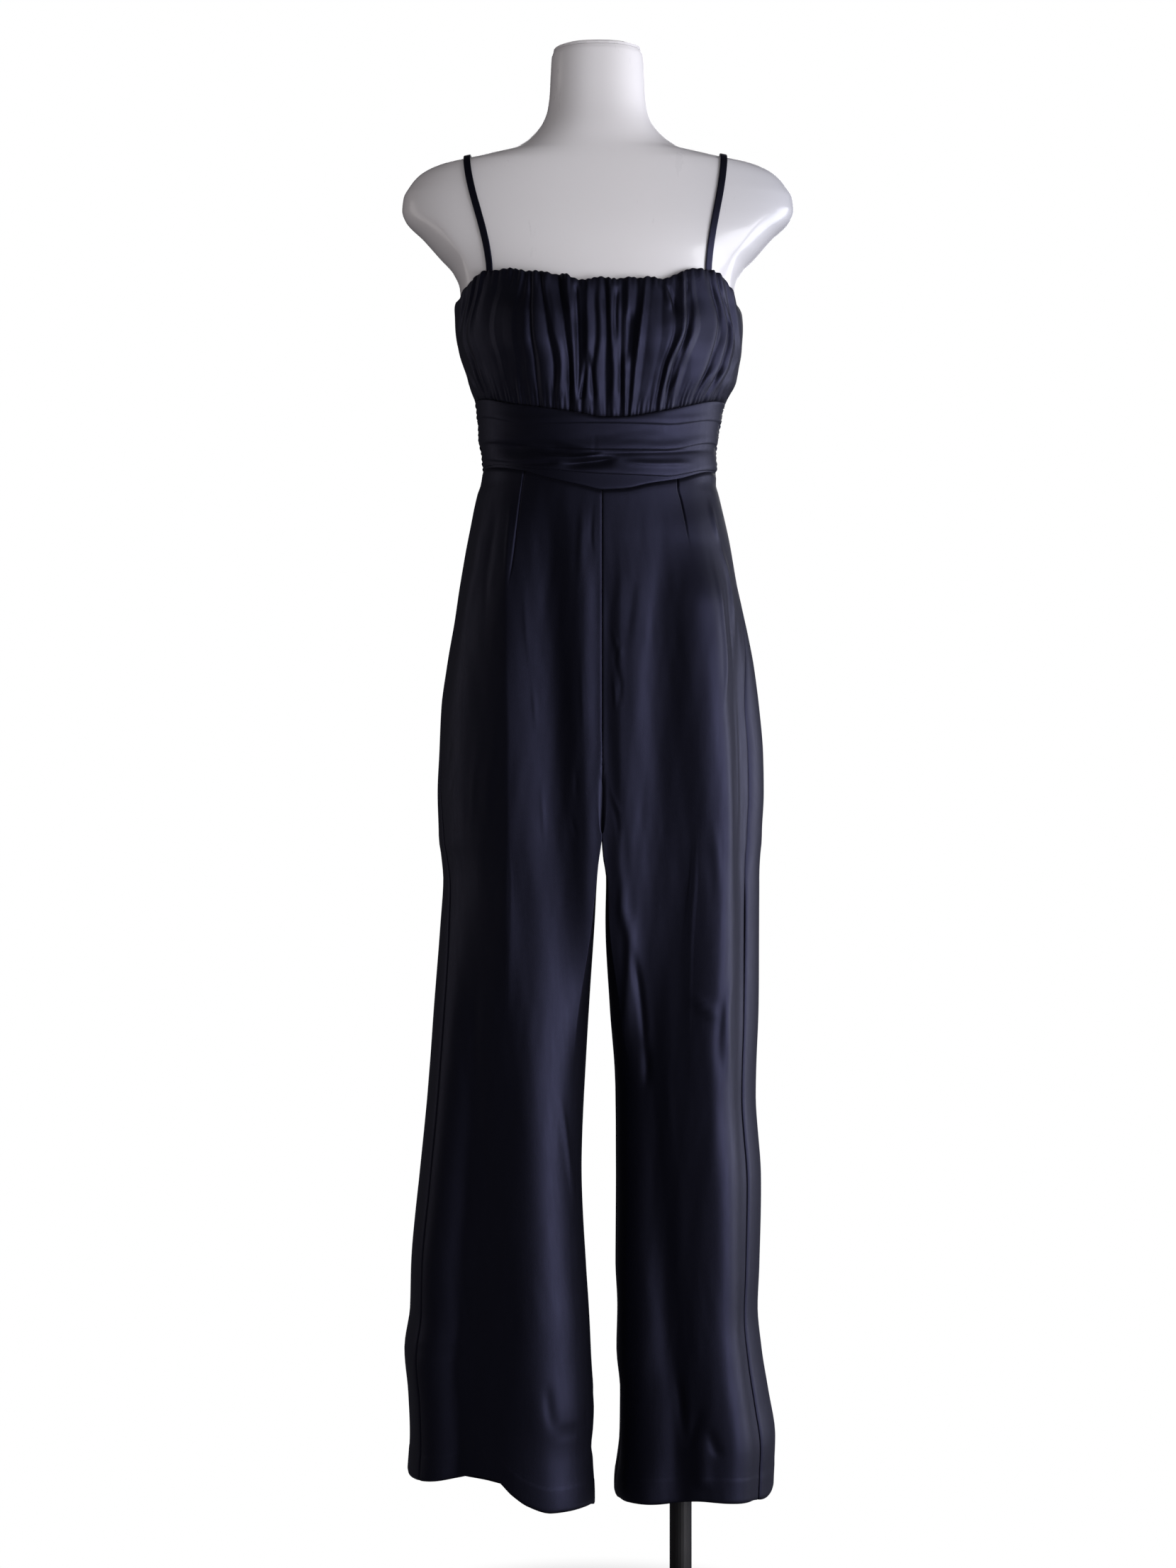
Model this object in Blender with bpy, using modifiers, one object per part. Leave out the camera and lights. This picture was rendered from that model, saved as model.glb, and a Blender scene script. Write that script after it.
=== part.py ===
"""A strappy wide-leg jumpsuit on a headless, armless and legless dress form with a round base.

Metres, +Z up. The origin is the middle of the base's underside. The front faces -Y, and left and
right are the wearer's, so left is +X. Tables are in millimetres, with heights above the floor.
"""

import math
from bisect import bisect_right

import bmesh
import bpy
from mathutils import Vector

MM = 0.001

# Driving dimensions of the cloth
CLOTH = 1.5 * MM
GATHERED_CLOTH = 1.7 * MM
SEAM_GAP = 0.3 * MM
CENTRE_FRONT = 4.0 * MM
GARMENT_POWER = 2.2
CROTCH_TOP = 985 * MM
CROTCH = 868 * MM
LEG_FORM_START = 868 * MM
LEG_FORM_END = 600 * MM
INSEAM = 1.8
OUTER_TURN = 0.75 * math.pi
SIDE_SEAM_LOW = 0.26
SIDE_SEAM_TOP = 1170 * MM
LEFT_SEAM_BOTTOM = 990 * MM
RIGHT_SEAM_BOTTOM = 700 * MM
BACK_WAIST_SEAM = 1257 * MM
WAIST_HALF_WIDTH = 130 * MM
BACK_WAIST_RISE = (98 * MM, 128 * MM)  # where the back's seam lifts to meet the front's
BACK_BUST_SEAM = 1330 * MM
BACK_TOP = 1426 * MM
ARMPIT_ACROSS = 160 * MM
SEAM_LEVEL = 1320 * MM
TOP_LEVEL = 1456 * MM
SIDE_GAP_TURN = 0.0012
CUP_LEVEL = 1322 * MM
DRAPE_LEVEL = 1290 * MM
LOWER_LEVEL = 1240 * MM
DRAPE_LIFT = 0.4 * MM
DRAPE_SIDE_SHARE = 0.55  # the lips stand lower at the side seams
LOWER_CLOTH = 1.2 * MM
LOWER_SET_BACK = 1.0 * MM
LOWER_TUCK = 5 * MM
DRAPE_COLUMN_COUNT = 36
LOWER_COLUMN_COUNT = 24
BACK_BAND_COLUMN_COUNT = 26
SIDE_FADE = 50 * MM
CENTRE_FADE = (4 * MM, 20 * MM)
FLAT_FADE = (15 * MM, 55 * MM)
FOLD_START = 1250 * MM
FOLD_LEAD = 90 * MM
WAIST_SHAPING = 1120 * MM
HEM_SHAPING = 370 * MM
HIP_ROWS = (1262, 1235, 1195, 1145, 1090, 1035)
CROTCH_ANGLES = (0, 22, 42, 60, 76, 90)
LEG_ROWS = (835, 790, 735, 670, 590, 500, 410, 330, 265, 220, 185, 160)
PANEL_STEPS = 9
MIDDLE_STEP = 0.86
CORNER_STEP = 0.93
SHORTEST_SPEED = 20 * MM
STRAP_WIDTH = 7.6 * MM
STRAP_THICKNESS = 2.4 * MM

# Driving dimensions of the form and its stand
FORM_BOTTOM = 946 * MM
FORM_POWER = 2.3
NECK_TOP = 1711.6 * MM
CAP_RINGS = ((4.2, 0.94), (3.0, 0.988), (0, 1))
POLE_RADIUS = 12 * MM
POLE_PLACE = (90 * MM, 6 * MM)
BASE_RADIUS = 165 * MM
BASE_THICKNESS = 8 * MM
COLLAR_RADIUS = 24 * MM
COLLAR_HEIGHT = 46 * MM
COLLAR_NECK = POLE_RADIUS + 5 * MM
COLLAR_FLARE = (10 * MM, 4 * MM)  # heights at which the neck starts to widen and has widened
COLLAR_CHAMFER = 1 * MM
BASE_CHAMFER = 2 * MM
POLE_STEPS, BASE_STEPS = 24, 64


def smooth(knots, values, place):
    """A curve through the values that never overshoots them, level past both ends."""
    if place <= knots[0]:
        return values[0]
    if place >= knots[-1]:
        return values[-1]
    slopes = [
        (values[i + 1] - values[i]) / (knots[i + 1] - knots[i]) for i in range(len(knots) - 1)
    ]

    def tangent(i):
        if i in (0, len(slopes)) or slopes[i - 1] * slopes[i] <= 0:
            return 0.0
        return 2 * slopes[i - 1] * slopes[i] / (slopes[i - 1] + slopes[i])

    i = bisect_right(knots, place) - 1
    span = knots[i + 1] - knots[i]
    t = (place - knots[i]) / span
    return (
        values[i] * (1 + 2 * t) * (1 - t) ** 2
        + values[i + 1] * t * t * (3 - 2 * t)
        + span * t * (1 - t) * (tangent(i) * (1 - t) - tangent(i + 1) * t)
    )


class Table:
    """Rows of millimetres under named columns, read as smooth curves of the first column."""

    def __init__(self, columns, rows):
        rows = sorted(rows)
        self.knots = [row[0] * MM for row in rows]
        self.columns = {
            name: [row[i] * MM for row in rows] for i, name in enumerate(columns)
        }

    def at(self, name, place):
        return smooth(self.knots, self.columns[name], place)


# The cloth round the body, from the upper chest to the crotch
TORSO = Table(
    ("height", "right", "left", "front", "back"),
    (
        (1478, 164, 165, 106, 99),
        (1458, 160, 161, 108, 99),
        (1430, 156, 157, 110, 98),
        (1411, 155, 157, 111, 96),
        (1390, 152, 156, 111, 93),
        (1356, 141, 150, 106, 87),
        (1337, 135, 141, 101, 83.5),
        (1319, 131, 134, 97, 81),
        (1300, 130, 131, 95, 79.5),
        (1282, 127, 128, 94, 79.5),
        (1263, 125, 129, 94, 82),
        (1245, 127, 128, 95, 87),
        (1233, 131, 131, 96, 91),
        (1186, 141, 142, 99, 102),
        (1140, 149, 150, 101, 111),
        (1094, 156, 160, 102, 117),
        (1048, 164, 169, 103, 119),
        (1002, 170, 175, 103, 118.5),
        (955, 172, 179, 102, 115),
        (909, 174, 180, 101, 111),
        (863, 173, 178, 100, 110),
    ),
)

# The legs below the crotch: how far the outside and inside of each lie from the middle
LEGS = Table(
    ("height", "right_outer", "right_inner", "left_outer", "left_inner", "front", "back"),
    (
        (863, 173, -3.6, 178, 4.2, 100, 110),
        (840, 170, -1, 176, 5.5, 99, 109),
        (817, 168, 1.2, 175, 9, 98, 108),
        (771, 171, 3.5, 175, 8, 96, 106),
        (678, 178, 9.6, 174, 12.7, 95, 104),
        (586, 185, 15, 171, 19, 96, 105),
        (493, 194, 20, 177, 19.6, 100, 110),
        (401, 203, 18, 175, 19, 104, 114),
        (355, 204, 16, 173, 21, 106, 116),
        (309, 210, 15, 177.5, 20, 108, 118),
        (262, 206, 13.5, 185, 24, 109, 119),
        (216, 204, 19, 192, 23.5, 110, 120),
        (160, 207, 15, 190, 18, 111, 120),
    ),
)

# Edges and seams across the front, by the distance from the middle, right to left
BODICE_TOP = Table(
    ("across", "height"),
    (
        (-156, 1438),
        (-146, 1449),
        (-132, 1458),
        (-114, 1464),
        (-85, 1462),
        (-57, 1457),
        (-36, 1455),
        (-25, 1449),
        (0, 1450.5),
        (43, 1450.5),
        (53, 1453.5),
        (67, 1449.5),
        (86, 1459),
        (114, 1465),
        (131, 1460),
        (144, 1450),
        (157, 1432),
    ),
)
BUST_SEAM = Table(
    ("across", "height"),
    ((-131, 1333), (-88, 1322), (-58, 1317), (-22, 1311), (5, 1306), (28, 1306.5), (60, 1312),
     (88, 1319), (134, 1331)),
)
FRONT_WAIST_SEAM = Table(
    ("across", "height"),
    ((-126, 1259), (-81, 1252), (-57, 1244), (-17, 1234), (4, 1229.4), (28, 1230.8), (54, 1236.7),
     (88, 1243.6), (127, 1255)),
)
HEM = Table(
    ("across", "right_front", "right_back", "left_front", "left_back"),
    (
        (15, 146, 146, 154, 154),
        (28, 157, 140, 160, 151),
        (42, 158, 136, 162, 150),
        (60, 158, 134, 163, 150),
        (77, 165, 133, 165, 150),
        (90, 175, 132, 167, 150),
        (108, 190, 133, 169, 150),
        (133, 192, 136, 168, 151),
        (160, 187, 143, 165, 156),
        (180, 182, 158, 160, 168),
        (192, 180, 170, 163, 178),
        (208, 178, 178, 168, 183),
    ),
)

# How squared the inside of the round leg is, by height
INSIDE_POWERS = Table(
    ("height", "power"),
    ((160, 2200), (450, 2500), (600, 3000), (700, 3600), (800, 5000), (868, 7000)),
)

# Gathers of the bodice front: where each crest crosses the seam, the bust and the top edge
GATHERS = (
    ("seam", "bust", "top", "crest"),
    (
        (-127, -147, -147, 1.6),
        (-118, -138, -139, 2.2),
        (-107, -126, -129, 2.4),
        (-95, -108, -115, 2.8),
        (-80, -87, -96, 3.4),
        (-62, -65, -77, 3.0),
        (-44, -42, -56, 3.4),
        (-29, -27, -34, 2.8),
        (-13, -10, -14, 2.6),
        (2, 3, 4, 2.4),
        (14, 18, 22, 3.2),
        (33, 39, 45, 3.6),
        (45, 53, 58, 2.6),
        (55, 66, 72, 2.4),
        (66, 84, 90, 3.6),
        (78, 99, 102, 2.6),
        (90, 115, 113, 3.0),
        (103, 130, 125, 2.8),
        (116, 141, 136, 2.2),
        (128, 150, 147, 1.6),
    ),
)
FRONT_GATHER_ROWS = (0, 0.05, 0.17, 0.32, 0.48, 0.64, 0.79, 0.91, 1)
BACK_GATHERS = 11
BACK_GATHER_CREST = 1.8 * MM
BACK_GATHER_LEAN = 0.03
BACK_GATHER_ROWS = (0, 0.12, 0.35, 0.6, 0.82, 1)
BLOUSE_SWELL = 1.6 * MM
TOP_DROP = 1.2 * MM
FINE_GATHER = 1.1 * MM

# Long soft folds of the trousers. Each row is the fold's line and how far it stands out (a trough
# if less than 0) at FOLD_HEIGHTS, then its reach to the left and to the right of the line
FOLD_HEIGHTS = (1180, 1110, 1000, 887, 776, 627, 478, 329, 200)
FRONT_FOLDS = (
    ((-98, -102, -102, -99, -91, -71, -56, -47, -43), (3, 6, 8, 9, 8, 10, 17, 23, 27), 34, 44),
    ((-52, -49, -42, -34, -30, -27, -27, -25, -24), (-5, -7, -8, -7, -3, 0, 0, 0, 0), 16, 36),
    ((-30, -28, -24, -18, -12, -10, -9, -9, -9), (1.5, 2.6, 2.4, 2, 1, 0, 0, 0, 0), 18, 12),
    ((-151, -148, -144, -140, -137, -134, -142, -151, -154), (0, 0, 0, 0, -3, -10, -15, -17, -18), 56, 50),
    ((104, 107, 115, 122, 128, 132, 138, 145, 151), (6, 13, 15, 17, 17, 15, 16, 17, 15), 26, 32),
    ((104, 107, 115, 122, 128, 132, 138, 145, 151), (4, 7, 8, 8, 7, 3, 0, 0, 0), 34, 84),
    ((72, 66, 62, 58, 54, 53, 59, 71, 79), (-1, -4, -4, -3, -3, -7, -9, -10, -9), 22, 20),
)
BACK_FOLDS = (
    ((-72, -78, -84, -90, -93, -95, -98, -102, -104), (0, -5, -8, -10, -11, -12, -13, -14, -14), 22, 18),
    ((-40, -44, -50, -55, -57, -59, -59, -57, -56), (0, 2, 4, 5, 6, 6, 6, 6, 6), 20, 18),
    ((-106, -112, -122, -129, -134, -139, -147, -155, -160), (0, 2, 4, 5, 6, 6, 6, 6, 6), 18, 20),
    ((74, 80, 86, 90, 91, 90, 92, 96, 98), (0, -5, -8, -10, -11, -12, -13, -14, -14), 18, 22),
    ((40, 44, 50, 54, 56, 57, 56, 54, 52), (0, 2, 4, 5, 6, 6, 6, 6, 6), 18, 20),
    ((110, 116, 126, 133, 136, 139, 143, 148, 152), (0, 2, 4, 5, 6, 6, 6, 6, 6), 20, 18),
)

# Pleats of the draped waistband. Each row is the height of a lip at DRAPE_PLACES, and its stand-off
DRAPE_PLACES = (-130, -70, 5, 70, 130)
DRAPE_LINES = (
    (1333, 1319.5, 1306, 1319, 1331, 0.2),
    (1328, 1314, 1303, 1313, 1326, 1.6),
    (1314, 1300, 1300, 1300, 1310, 2.4),
    (1311.5, 1297.5, 1297.5, 1297.5, 1307.5, 0.8),
    (1300, 1288, 1286, 1285, 1297, 2.0),
    (1286, 1277, 1272, 1273, 1286, 2.8),
    (1283, 1273.5, 1268.5, 1270, 1283, 1.2),
    (1276, 1267, 1263, 1262, 1274, 2.6),
    (1268, 1259, 1254, 1251, 1264, 2.8),
    (1262, 1254, 1246.5, 1245, 1257, 1.0),
)

# How far the ruched waistband stands out behind, from its top seam down
BACK_BAND_RISES = (0.2, 1.0, 1.6, 0.5, 1.2, 1.8, 0.6, 1.2, 0.2)

# The form: its outline, the bulk of the shoulder that the arm facet cuts, and the facet's edge
FORM = Table(
    ("height", "half", "bulk", "edge", "front", "back"),
    (
        (1711.6, 49, 49, 49, 50, 55),
        (1707, 50.5, 50.5, 50.5, 51.5, 57),
        (1688, 51.6, 51.6, 51.6, 52, 59),
        (1668, 52.6, 52.6, 52.6, 52.5, 62),
        (1651, 54.8, 54.8, 54.8, 54, 66),
        (1642, 57.5, 57.5, 57.5, 55.5, 68.5),
        (1633, 62, 62, 62, 57.5, 71),
        (1624, 69, 69, 69, 59.5, 74),
        (1614.5, 80, 80, 80, 61.5, 77),
        (1605, 99, 99, 99, 64, 80),
        (1596, 139, 139, 139, 67, 82),
        (1587, 179, 179, 179, 70, 84),
        (1577, 196, 196, 195, 73, 86),
        (1566, 205, 205, 203, 76, 88),
        (1555, 211, 211, 205, 79, 89.5),
        (1541, 212.5, 213, 192, 82.5, 92),
        (1531, 209, 212, 181, 85, 93.5),
        (1513, 191, 205, 166, 89, 95),
        (1494, 174, 190, 153, 92, 95),
        (1476, 158, 172, 143, 94, 94),
        (1457, 150, 158, 141, 96.5, 92.5),
        (1430, 148, 149, 143, 100, 91),
        (1400, 147, 147, 147, 102, 87.5),
        (1356, 134, 134, 134, 96, 80),
        (1319, 123.5, 123.5, 123.5, 89, 74.5),
        (1277, 118, 118, 118, 86, 73),
        (1245, 119.5, 119.5, 119.5, 86.5, 79),
        (1186, 131, 131, 131, 87, 92),
        (1094, 143, 143, 143, 85, 102),
        (1002, 150, 150, 150, 83, 102),
        (962, 148, 148, 148, 79, 98),
        (950, 143, 143, 143, 75, 93),
        (946, 136, 136, 136, 69, 87),
    ),
)
FORM_SIDES = 32
BUST_HEIGHT = 1393 * MM
BUST_APART = 72 * MM
BUST_SPREAD = 40 * MM
BUST_RISE = 42 * MM
BUST_SWELL = 7 * MM

# How each strap runs: across at its front end, over the shoulder and at its back end
STRAPS = {
    "strap_right": (-114 * MM, -140 * MM, -92 * MM),
    "strap_left": (116 * MM, 134 * MM, 94 * MM),
}
STRAP_END_GAP = 1.2 * MM
STRAP_CLEAR = 0.7 * MM
STRAP_STEPS = 42
STRAP_CONTACTS = 40
STRAP_SIDES = 6


def ease(low, high, value):
    t = min(max((value - low) / (high - low), 0.0), 1.0)
    return t * t * (3 - 2 * t)


def bell(offset, reach):
    return math.exp(-((offset / reach) ** 2))


def mix(a, b, share):
    return a + (b - a) * share


# Sections


def rounded(along, across, turn, power):
    """A point at this turn, in radians, of an oval whose quarters are superellipses."""
    c, s = math.cos(turn), math.sin(turn)
    x = math.copysign(abs(c) ** (2 / power), c) * along
    return x, math.copysign(abs(s) ** (2 / power), s) * across


def bust(x, z):
    """How far the cups stand in front of the oval."""
    sides = bell(x - BUST_APART, BUST_SPREAD) + bell(x + BUST_APART, BUST_SPREAD)
    return BUST_SWELL * sides * bell(z - BUST_HEIGHT, BUST_RISE)


def torso(z, turn):
    """The cloth round the body at a height: turn 0 is the left side, 90 degrees the front."""
    half = TORSO.at("left" if math.cos(turn) > 0 else "right", z)
    front = math.sin(turn) > 0
    depth = TORSO.at("front" if front else "back", z)
    x, y = rounded(half, depth, turn, GARMENT_POWER)
    y = -y
    if front:
        y -= bust(x, z) * math.sin(turn)
    return Vector((x, y, z))


def torso_turn(z, x):
    """The turn at which the front of the torso has this x."""
    half = TORSO.at("left" if x > 0 else "right", z)
    share = min(abs(x) / half, 1.0) ** (GARMENT_POWER / 2)
    return math.acos(math.copysign(share, x))


def leg_sizes(side, z):
    """Outside, inside, front and back of a leg at a height, each from the middle."""
    name = "left" if side > 0 else "right"
    centre = side * CENTRE_FRONT + SEAM_GAP / 2
    if z > LEGS.knots[-1]:
        return TORSO.at(name, z), centre, TORSO.at("front", z), TORSO.at("back", z)
    inner = max(LEGS.at(name + "_inner", z), centre)
    return LEGS.at(name + "_outer", z), inner, LEGS.at("front", z), LEGS.at("back", z)


def round_turn(u):
    """The turn on the round leg at a place: the outer half of it belongs to two quarters."""
    if u < 1:
        return u * OUTER_TURN
    if u < 3:
        return OUTER_TURN + (u - 1) * (math.pi - OUTER_TURN)
    return 2 * math.pi - (4 - u) * OUTER_TURN


def leg(side, z, u):
    """A point of a leg: u is 0 at the side, 1 in front, 2 inside, 3 behind and 4 at the side."""
    u %= 4
    outer, inner, front, back = leg_sizes(side, z)
    depth = front if u < 2 else back
    turn = round_turn(u)
    power = INSIDE_POWERS.at("power", z) if math.cos(turn) < 0 else GARMENT_POWER
    x, y = rounded((outer - inner) / 2, depth, turn, power)
    round_leg = Vector(((outer + inner) / 2 + x, -y, z))
    if u < 1 or u > 3:
        x, y = rounded(outer - inner, depth, u * math.pi / 2, GARMENT_POWER)
        half_hip = Vector((inner + x, -y, z))
    else:
        half_hip = Vector((inner, (u - 2) * depth, z))
    point = half_hip.lerp(round_leg, 1 - ease(LEG_FORM_END, LEG_FORM_START, z))
    point.x *= side
    return point


def form(z, turn):
    """The form's own surface, with the end of each shoulder cut back to a facet."""
    bulk, edge, half = (FORM.at(name, z) for name in ("bulk", "edge", "half"))
    front = math.sin(turn) > 0
    x, y = rounded(bulk, FORM.at("front" if front else "back", z), turn, FORM_POWER)
    if abs(x) > edge:
        x = math.copysign(edge + (abs(x) - edge) * (half - edge) / (bulk - edge), x)
    y = -y
    if front:
        y -= bust(x, z) * math.sin(turn)
    return Vector((x, y, z))


def form_depth(x, z, front):
    """How far in front of or behind the middle the form reaches, or None beside it."""
    bulk, edge, half = (FORM.at(name, z) for name in ("bulk", "edge", "half"))
    if abs(x) >= half:
        return None
    reach = abs(x)
    if reach > edge:
        reach = edge + (reach - edge) * (bulk - edge) / (half - edge)
    share = (1 - (reach / bulk) ** FORM_POWER) ** (1 / FORM_POWER)
    depth = FORM.at("front" if front else "back", z) * share
    return depth + bust(x, z) * share if front else depth


# Walls of cloth


def outward(section, place):
    """The level direction that points out of a section at a place along it."""
    step = 0.01
    along = section(place + step) - section(place - step)
    return Vector((-along.y, along.x, 0)).normalized()


def wall(name, grid, material):
    """A closed wall from a grid of (outer, inner) points, rows from the top down."""
    rows, columns = len(grid), len(grid[0])
    shape = bmesh.new()
    faces = [
        [[shape.verts.new(pair[layer]) for pair in row] for row in grid] for layer in (0, 1)
    ]
    outer, inner = faces
    for i in range(rows - 1):
        for j in range(columns - 1):
            shape.faces.new((outer[i][j], outer[i + 1][j], outer[i + 1][j + 1], outer[i][j + 1]))
            shape.faces.new((inner[i][j + 1], inner[i + 1][j + 1], inner[i + 1][j], inner[i][j]))
    for i in range(rows - 1):
        for j, other in ((0, 1), (columns - 1, -1)):
            rim = [outer[i][j], inner[i][j], inner[i + 1][j], outer[i + 1][j]]
            shape.faces.new(rim[::other])
    for j in range(columns - 1):
        for i, other in ((0, -1), (rows - 1, 1)):
            rim = [outer[i][j], inner[i][j], inner[i][j + 1], outer[i][j + 1]]
            shape.faces.new(rim[::other])
    return add_object(name, shape, material)


def add_object(name, shape, material):
    bmesh.ops.recalc_face_normals(shape, faces=shape.faces)
    mesh = bpy.data.meshes.new(name)
    shape.to_mesh(mesh)
    shape.free()
    mesh.shade_smooth()
    mesh.set_sharp_from_angle(angle=math.radians(50))
    mesh.materials.append(material)
    made = bpy.data.objects.new(name, mesh)
    parts.objects.link(made)
    return made


def rise_pair(point, direction, rise, thickness):
    outer = point + direction * rise
    return outer, outer - direction * thickness


def loft(name, rings, material):
    """A solid through closed rings of points, flat at both ends."""
    shape = bmesh.new()
    loops = [[shape.verts.new(point) for point in ring] for ring in rings]
    count = len(loops[0])
    for upper, lower in zip(loops, loops[1:]):
        for j in range(count):
            k = (j + 1) % count
            shape.faces.new((upper[j], lower[j], lower[k], upper[k]))
    shape.faces.new(loops[0][::-1])
    shape.faces.new(loops[-1])
    return add_object(name, shape, material)


# Bodice


def gather_crests():
    """Turns of the crests at the top, the bust and the seam, from the left side round."""
    names, rows = GATHERS
    levels = (("top", TOP_LEVEL), ("bust", BUST_HEIGHT), ("seam", CUP_LEVEL))
    crests = []
    for row in sorted(rows, reverse=True):
        fold = dict(zip(names, row))
        turns = [torso_turn(height, fold[name] * MM) for name, height in levels]
        crests.append((turns, fold["crest"] * MM))
    return crests


def bodice_columns(crests, start, end):
    """Turns, swell and side of the fine gathers for each column: crests, hollows and between."""
    stations = [([start] * 3, 0.0)]
    for (turns, crest), (following, next_crest) in zip(crests, crests[1:]):
        stations.append((turns, crest))
        hollow = [mix(a, b, 0.5) for a, b in zip(turns, following)]
        stations.append((hollow, -0.5 * (crest + next_crest)))
    stations.append(crests[-1])
    stations.append(([end] * 3, 0.0))
    columns = []
    for (turns, swell), (following, next_swell) in zip(stations, stations[1:]):
        columns.append((turns, swell, 1))
        between = [mix(a, b, 0.5) for a, b in zip(turns, following)]
        columns.append((between, mix(swell, next_swell, 0.5), -1))
    columns.append((stations[-1][0], 0.0, 1))
    return columns


def bodice(name, columns, top, shares):
    grid = []
    for share in shares:
        row = []
        swell_here = mix(0.8, 1.0, ease(0, 0.2, share)) * mix(1, 0.45, ease(0.7, 1, share))
        fine = FINE_GATHER * ease(0.55, 0.95, share)
        blouse = BLOUSE_SWELL * bell(share - 0.86, 0.1) - TOP_DROP * bell(share, 0.05)
        for index, (turns, swell, sign) in enumerate(columns):
            turn = smooth((0, 0.45, 1), turns, share)
            if index in (0, len(columns) - 1):
                turn += (1 if index == 0 else -1) * SIDE_GAP_TURN
            z = mix(top(turn), bust_seam(turn) + SEAM_GAP, share)
            direction = outward(lambda t: torso(z, t), turn)
            edge_fade = min(1.0, 4 * index / len(columns), 4 * (1 - index / len(columns)))
            rise = swell * swell_here + fine * sign * ease(0, 0.2, edge_fade) + blouse
            row.append(rise_pair(torso(z, turn), direction, rise, GATHERED_CLOTH))
        grid.append(row)
    wall(name, grid, cloth)


def make_bodice():
    crests = gather_crests()
    front = bodice_columns(crests, 0.0, math.pi)
    bodice("bodice_front", front, front_top, FRONT_GATHER_ROWS)
    spacing = math.pi / (BACK_GATHERS + 1)
    back = []
    for k in range(BACK_GATHERS):
        turn = math.pi + spacing * (k + 1)
        lean = BACK_GATHER_LEAN * math.sin(2.3 * k)
        crest = BACK_GATHER_CREST * (0.8 + 0.4 * math.cos(1.7 * k))
        back.append(([turn + lean, turn + 0.5 * lean, turn - lean], crest))
    back = bodice_columns(back, math.pi, 2 * math.pi)
    bodice("bodice_back", back, back_top, BACK_GATHER_ROWS)


def bust_seam(turn):
    """Height of the seam between bodice and waistband: curved in front, level behind."""
    front = BUST_SEAM.at("height", torso(SEAM_LEVEL, turn).x)
    return mix(front, BACK_BUST_SEAM, ease(0, 0.5, -math.sin(turn)))


def front_waist_seam(x):
    return FRONT_WAIST_SEAM.at("height", x)


def back_waist_seam(x):
    side = FRONT_WAIST_SEAM.at("height", math.copysign(WAIST_HALF_WIDTH, x))
    return mix(BACK_WAIST_SEAM, side, ease(*BACK_WAIST_RISE, abs(x)))


def front_top(turn):
    return BODICE_TOP.at("height", torso(TOP_LEVEL, turn).x)


def back_top(turn):
    """The back's top edge runs level, and rises to meet the front under each arm."""
    side = BODICE_TOP.at("height", math.copysign(ARMPIT_ACROSS, math.cos(turn)))
    return mix(side, BACK_TOP, ease(0, 0.6, -math.sin(turn)))


# Waistband


def drape_line(line, x):
    """Height and stand-off of one lip of the drape at this distance across."""
    *heights, stand = line
    across = [place * MM for place in DRAPE_PLACES]
    return smooth(across, [height * MM for height in heights], x), stand * MM


def band_turns(start, columns):
    """Turns half way round from a side seam, a seam's gap short at both ends."""
    turns = [start + math.pi * j / columns for j in range(columns + 1)]
    turns[0] += SIDE_GAP_TURN
    turns[-1] -= SIDE_GAP_TURN
    return turns


def torso_pair(z, turn, rise, thickness):
    direction = outward(lambda t: torso(z, t), turn)
    return rise_pair(torso(z, turn), direction, rise, thickness)


def make_drape():
    grid = []
    for line in DRAPE_LINES:
        row = []
        for turn in band_turns(0, DRAPE_COLUMN_COUNT):
            z, stand = drape_line(line, torso(DRAPE_LEVEL, turn).x)
            if line is DRAPE_LINES[0]:
                z = bust_seam(turn) - SEAM_GAP / 2
            rise = stand * mix(DRAPE_SIDE_SHARE, 1.0, math.sin(turn) ** 0.5) + DRAPE_LIFT
            row.append(torso_pair(z, turn, rise, CLOTH))
        grid.append(row)
    wall("waistband_front_drape", grid, cloth)


def make_lower_band():
    grid = []
    for share in (0, 0.5, 1):
        row = []
        for turn in band_turns(0, LOWER_COLUMN_COUNT):
            x = torso(LOWER_LEVEL, turn).x
            top = drape_line(DRAPE_LINES[-1], x)[0] + LOWER_TUCK
            z = mix(top, front_waist_seam(x) + SEAM_GAP / 2, share)
            row.append(torso_pair(z, turn, -LOWER_SET_BACK, LOWER_CLOTH))
        grid.append(row)
    wall("waistband_front_lower", grid, cloth)


def make_back_band():
    grid = []
    for i, rise in enumerate(BACK_BAND_RISES):
        row = []
        for turn in band_turns(math.pi, BACK_BAND_COLUMN_COUNT):
            low = back_waist_seam(torso(BACK_WAIST_SEAM, turn).x) + SEAM_GAP / 2
            z = mix(bust_seam(turn) - SEAM_GAP / 2, low, i / (len(BACK_BAND_RISES) - 1))
            row.append(torso_pair(z, turn, rise * MM, CLOTH))
        grid.append(row)
    wall("waistband_back", grid, cloth)


# Trousers


def fold_rise(point, from_side):
    """How far the long folds push the cloth out at a point of the trousers."""
    rise = 0.0
    knots = [height * MM for height in FOLD_HEIGHTS[::-1]]
    for line, rises, reach_left, reach_right in FRONT_FOLDS if point.y < 0 else BACK_FOLDS:
        offset = point.x - smooth(knots, [x * MM for x in line[::-1]], point.z)
        reach = (reach_left if offset > 0 else reach_right) * MM
        rise += smooth(knots, [r * MM for r in rises[::-1]], point.z) * bell(offset, reach)
    rise *= ease(0, FOLD_LEAD, FOLD_START - point.z) * ease(0, SIDE_FADE, from_side)
    return rise * ease(*FLAT_FADE, abs(point.y)) * ease(*CENTRE_FADE, abs(point.x - CENTRE_FRONT))


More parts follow.
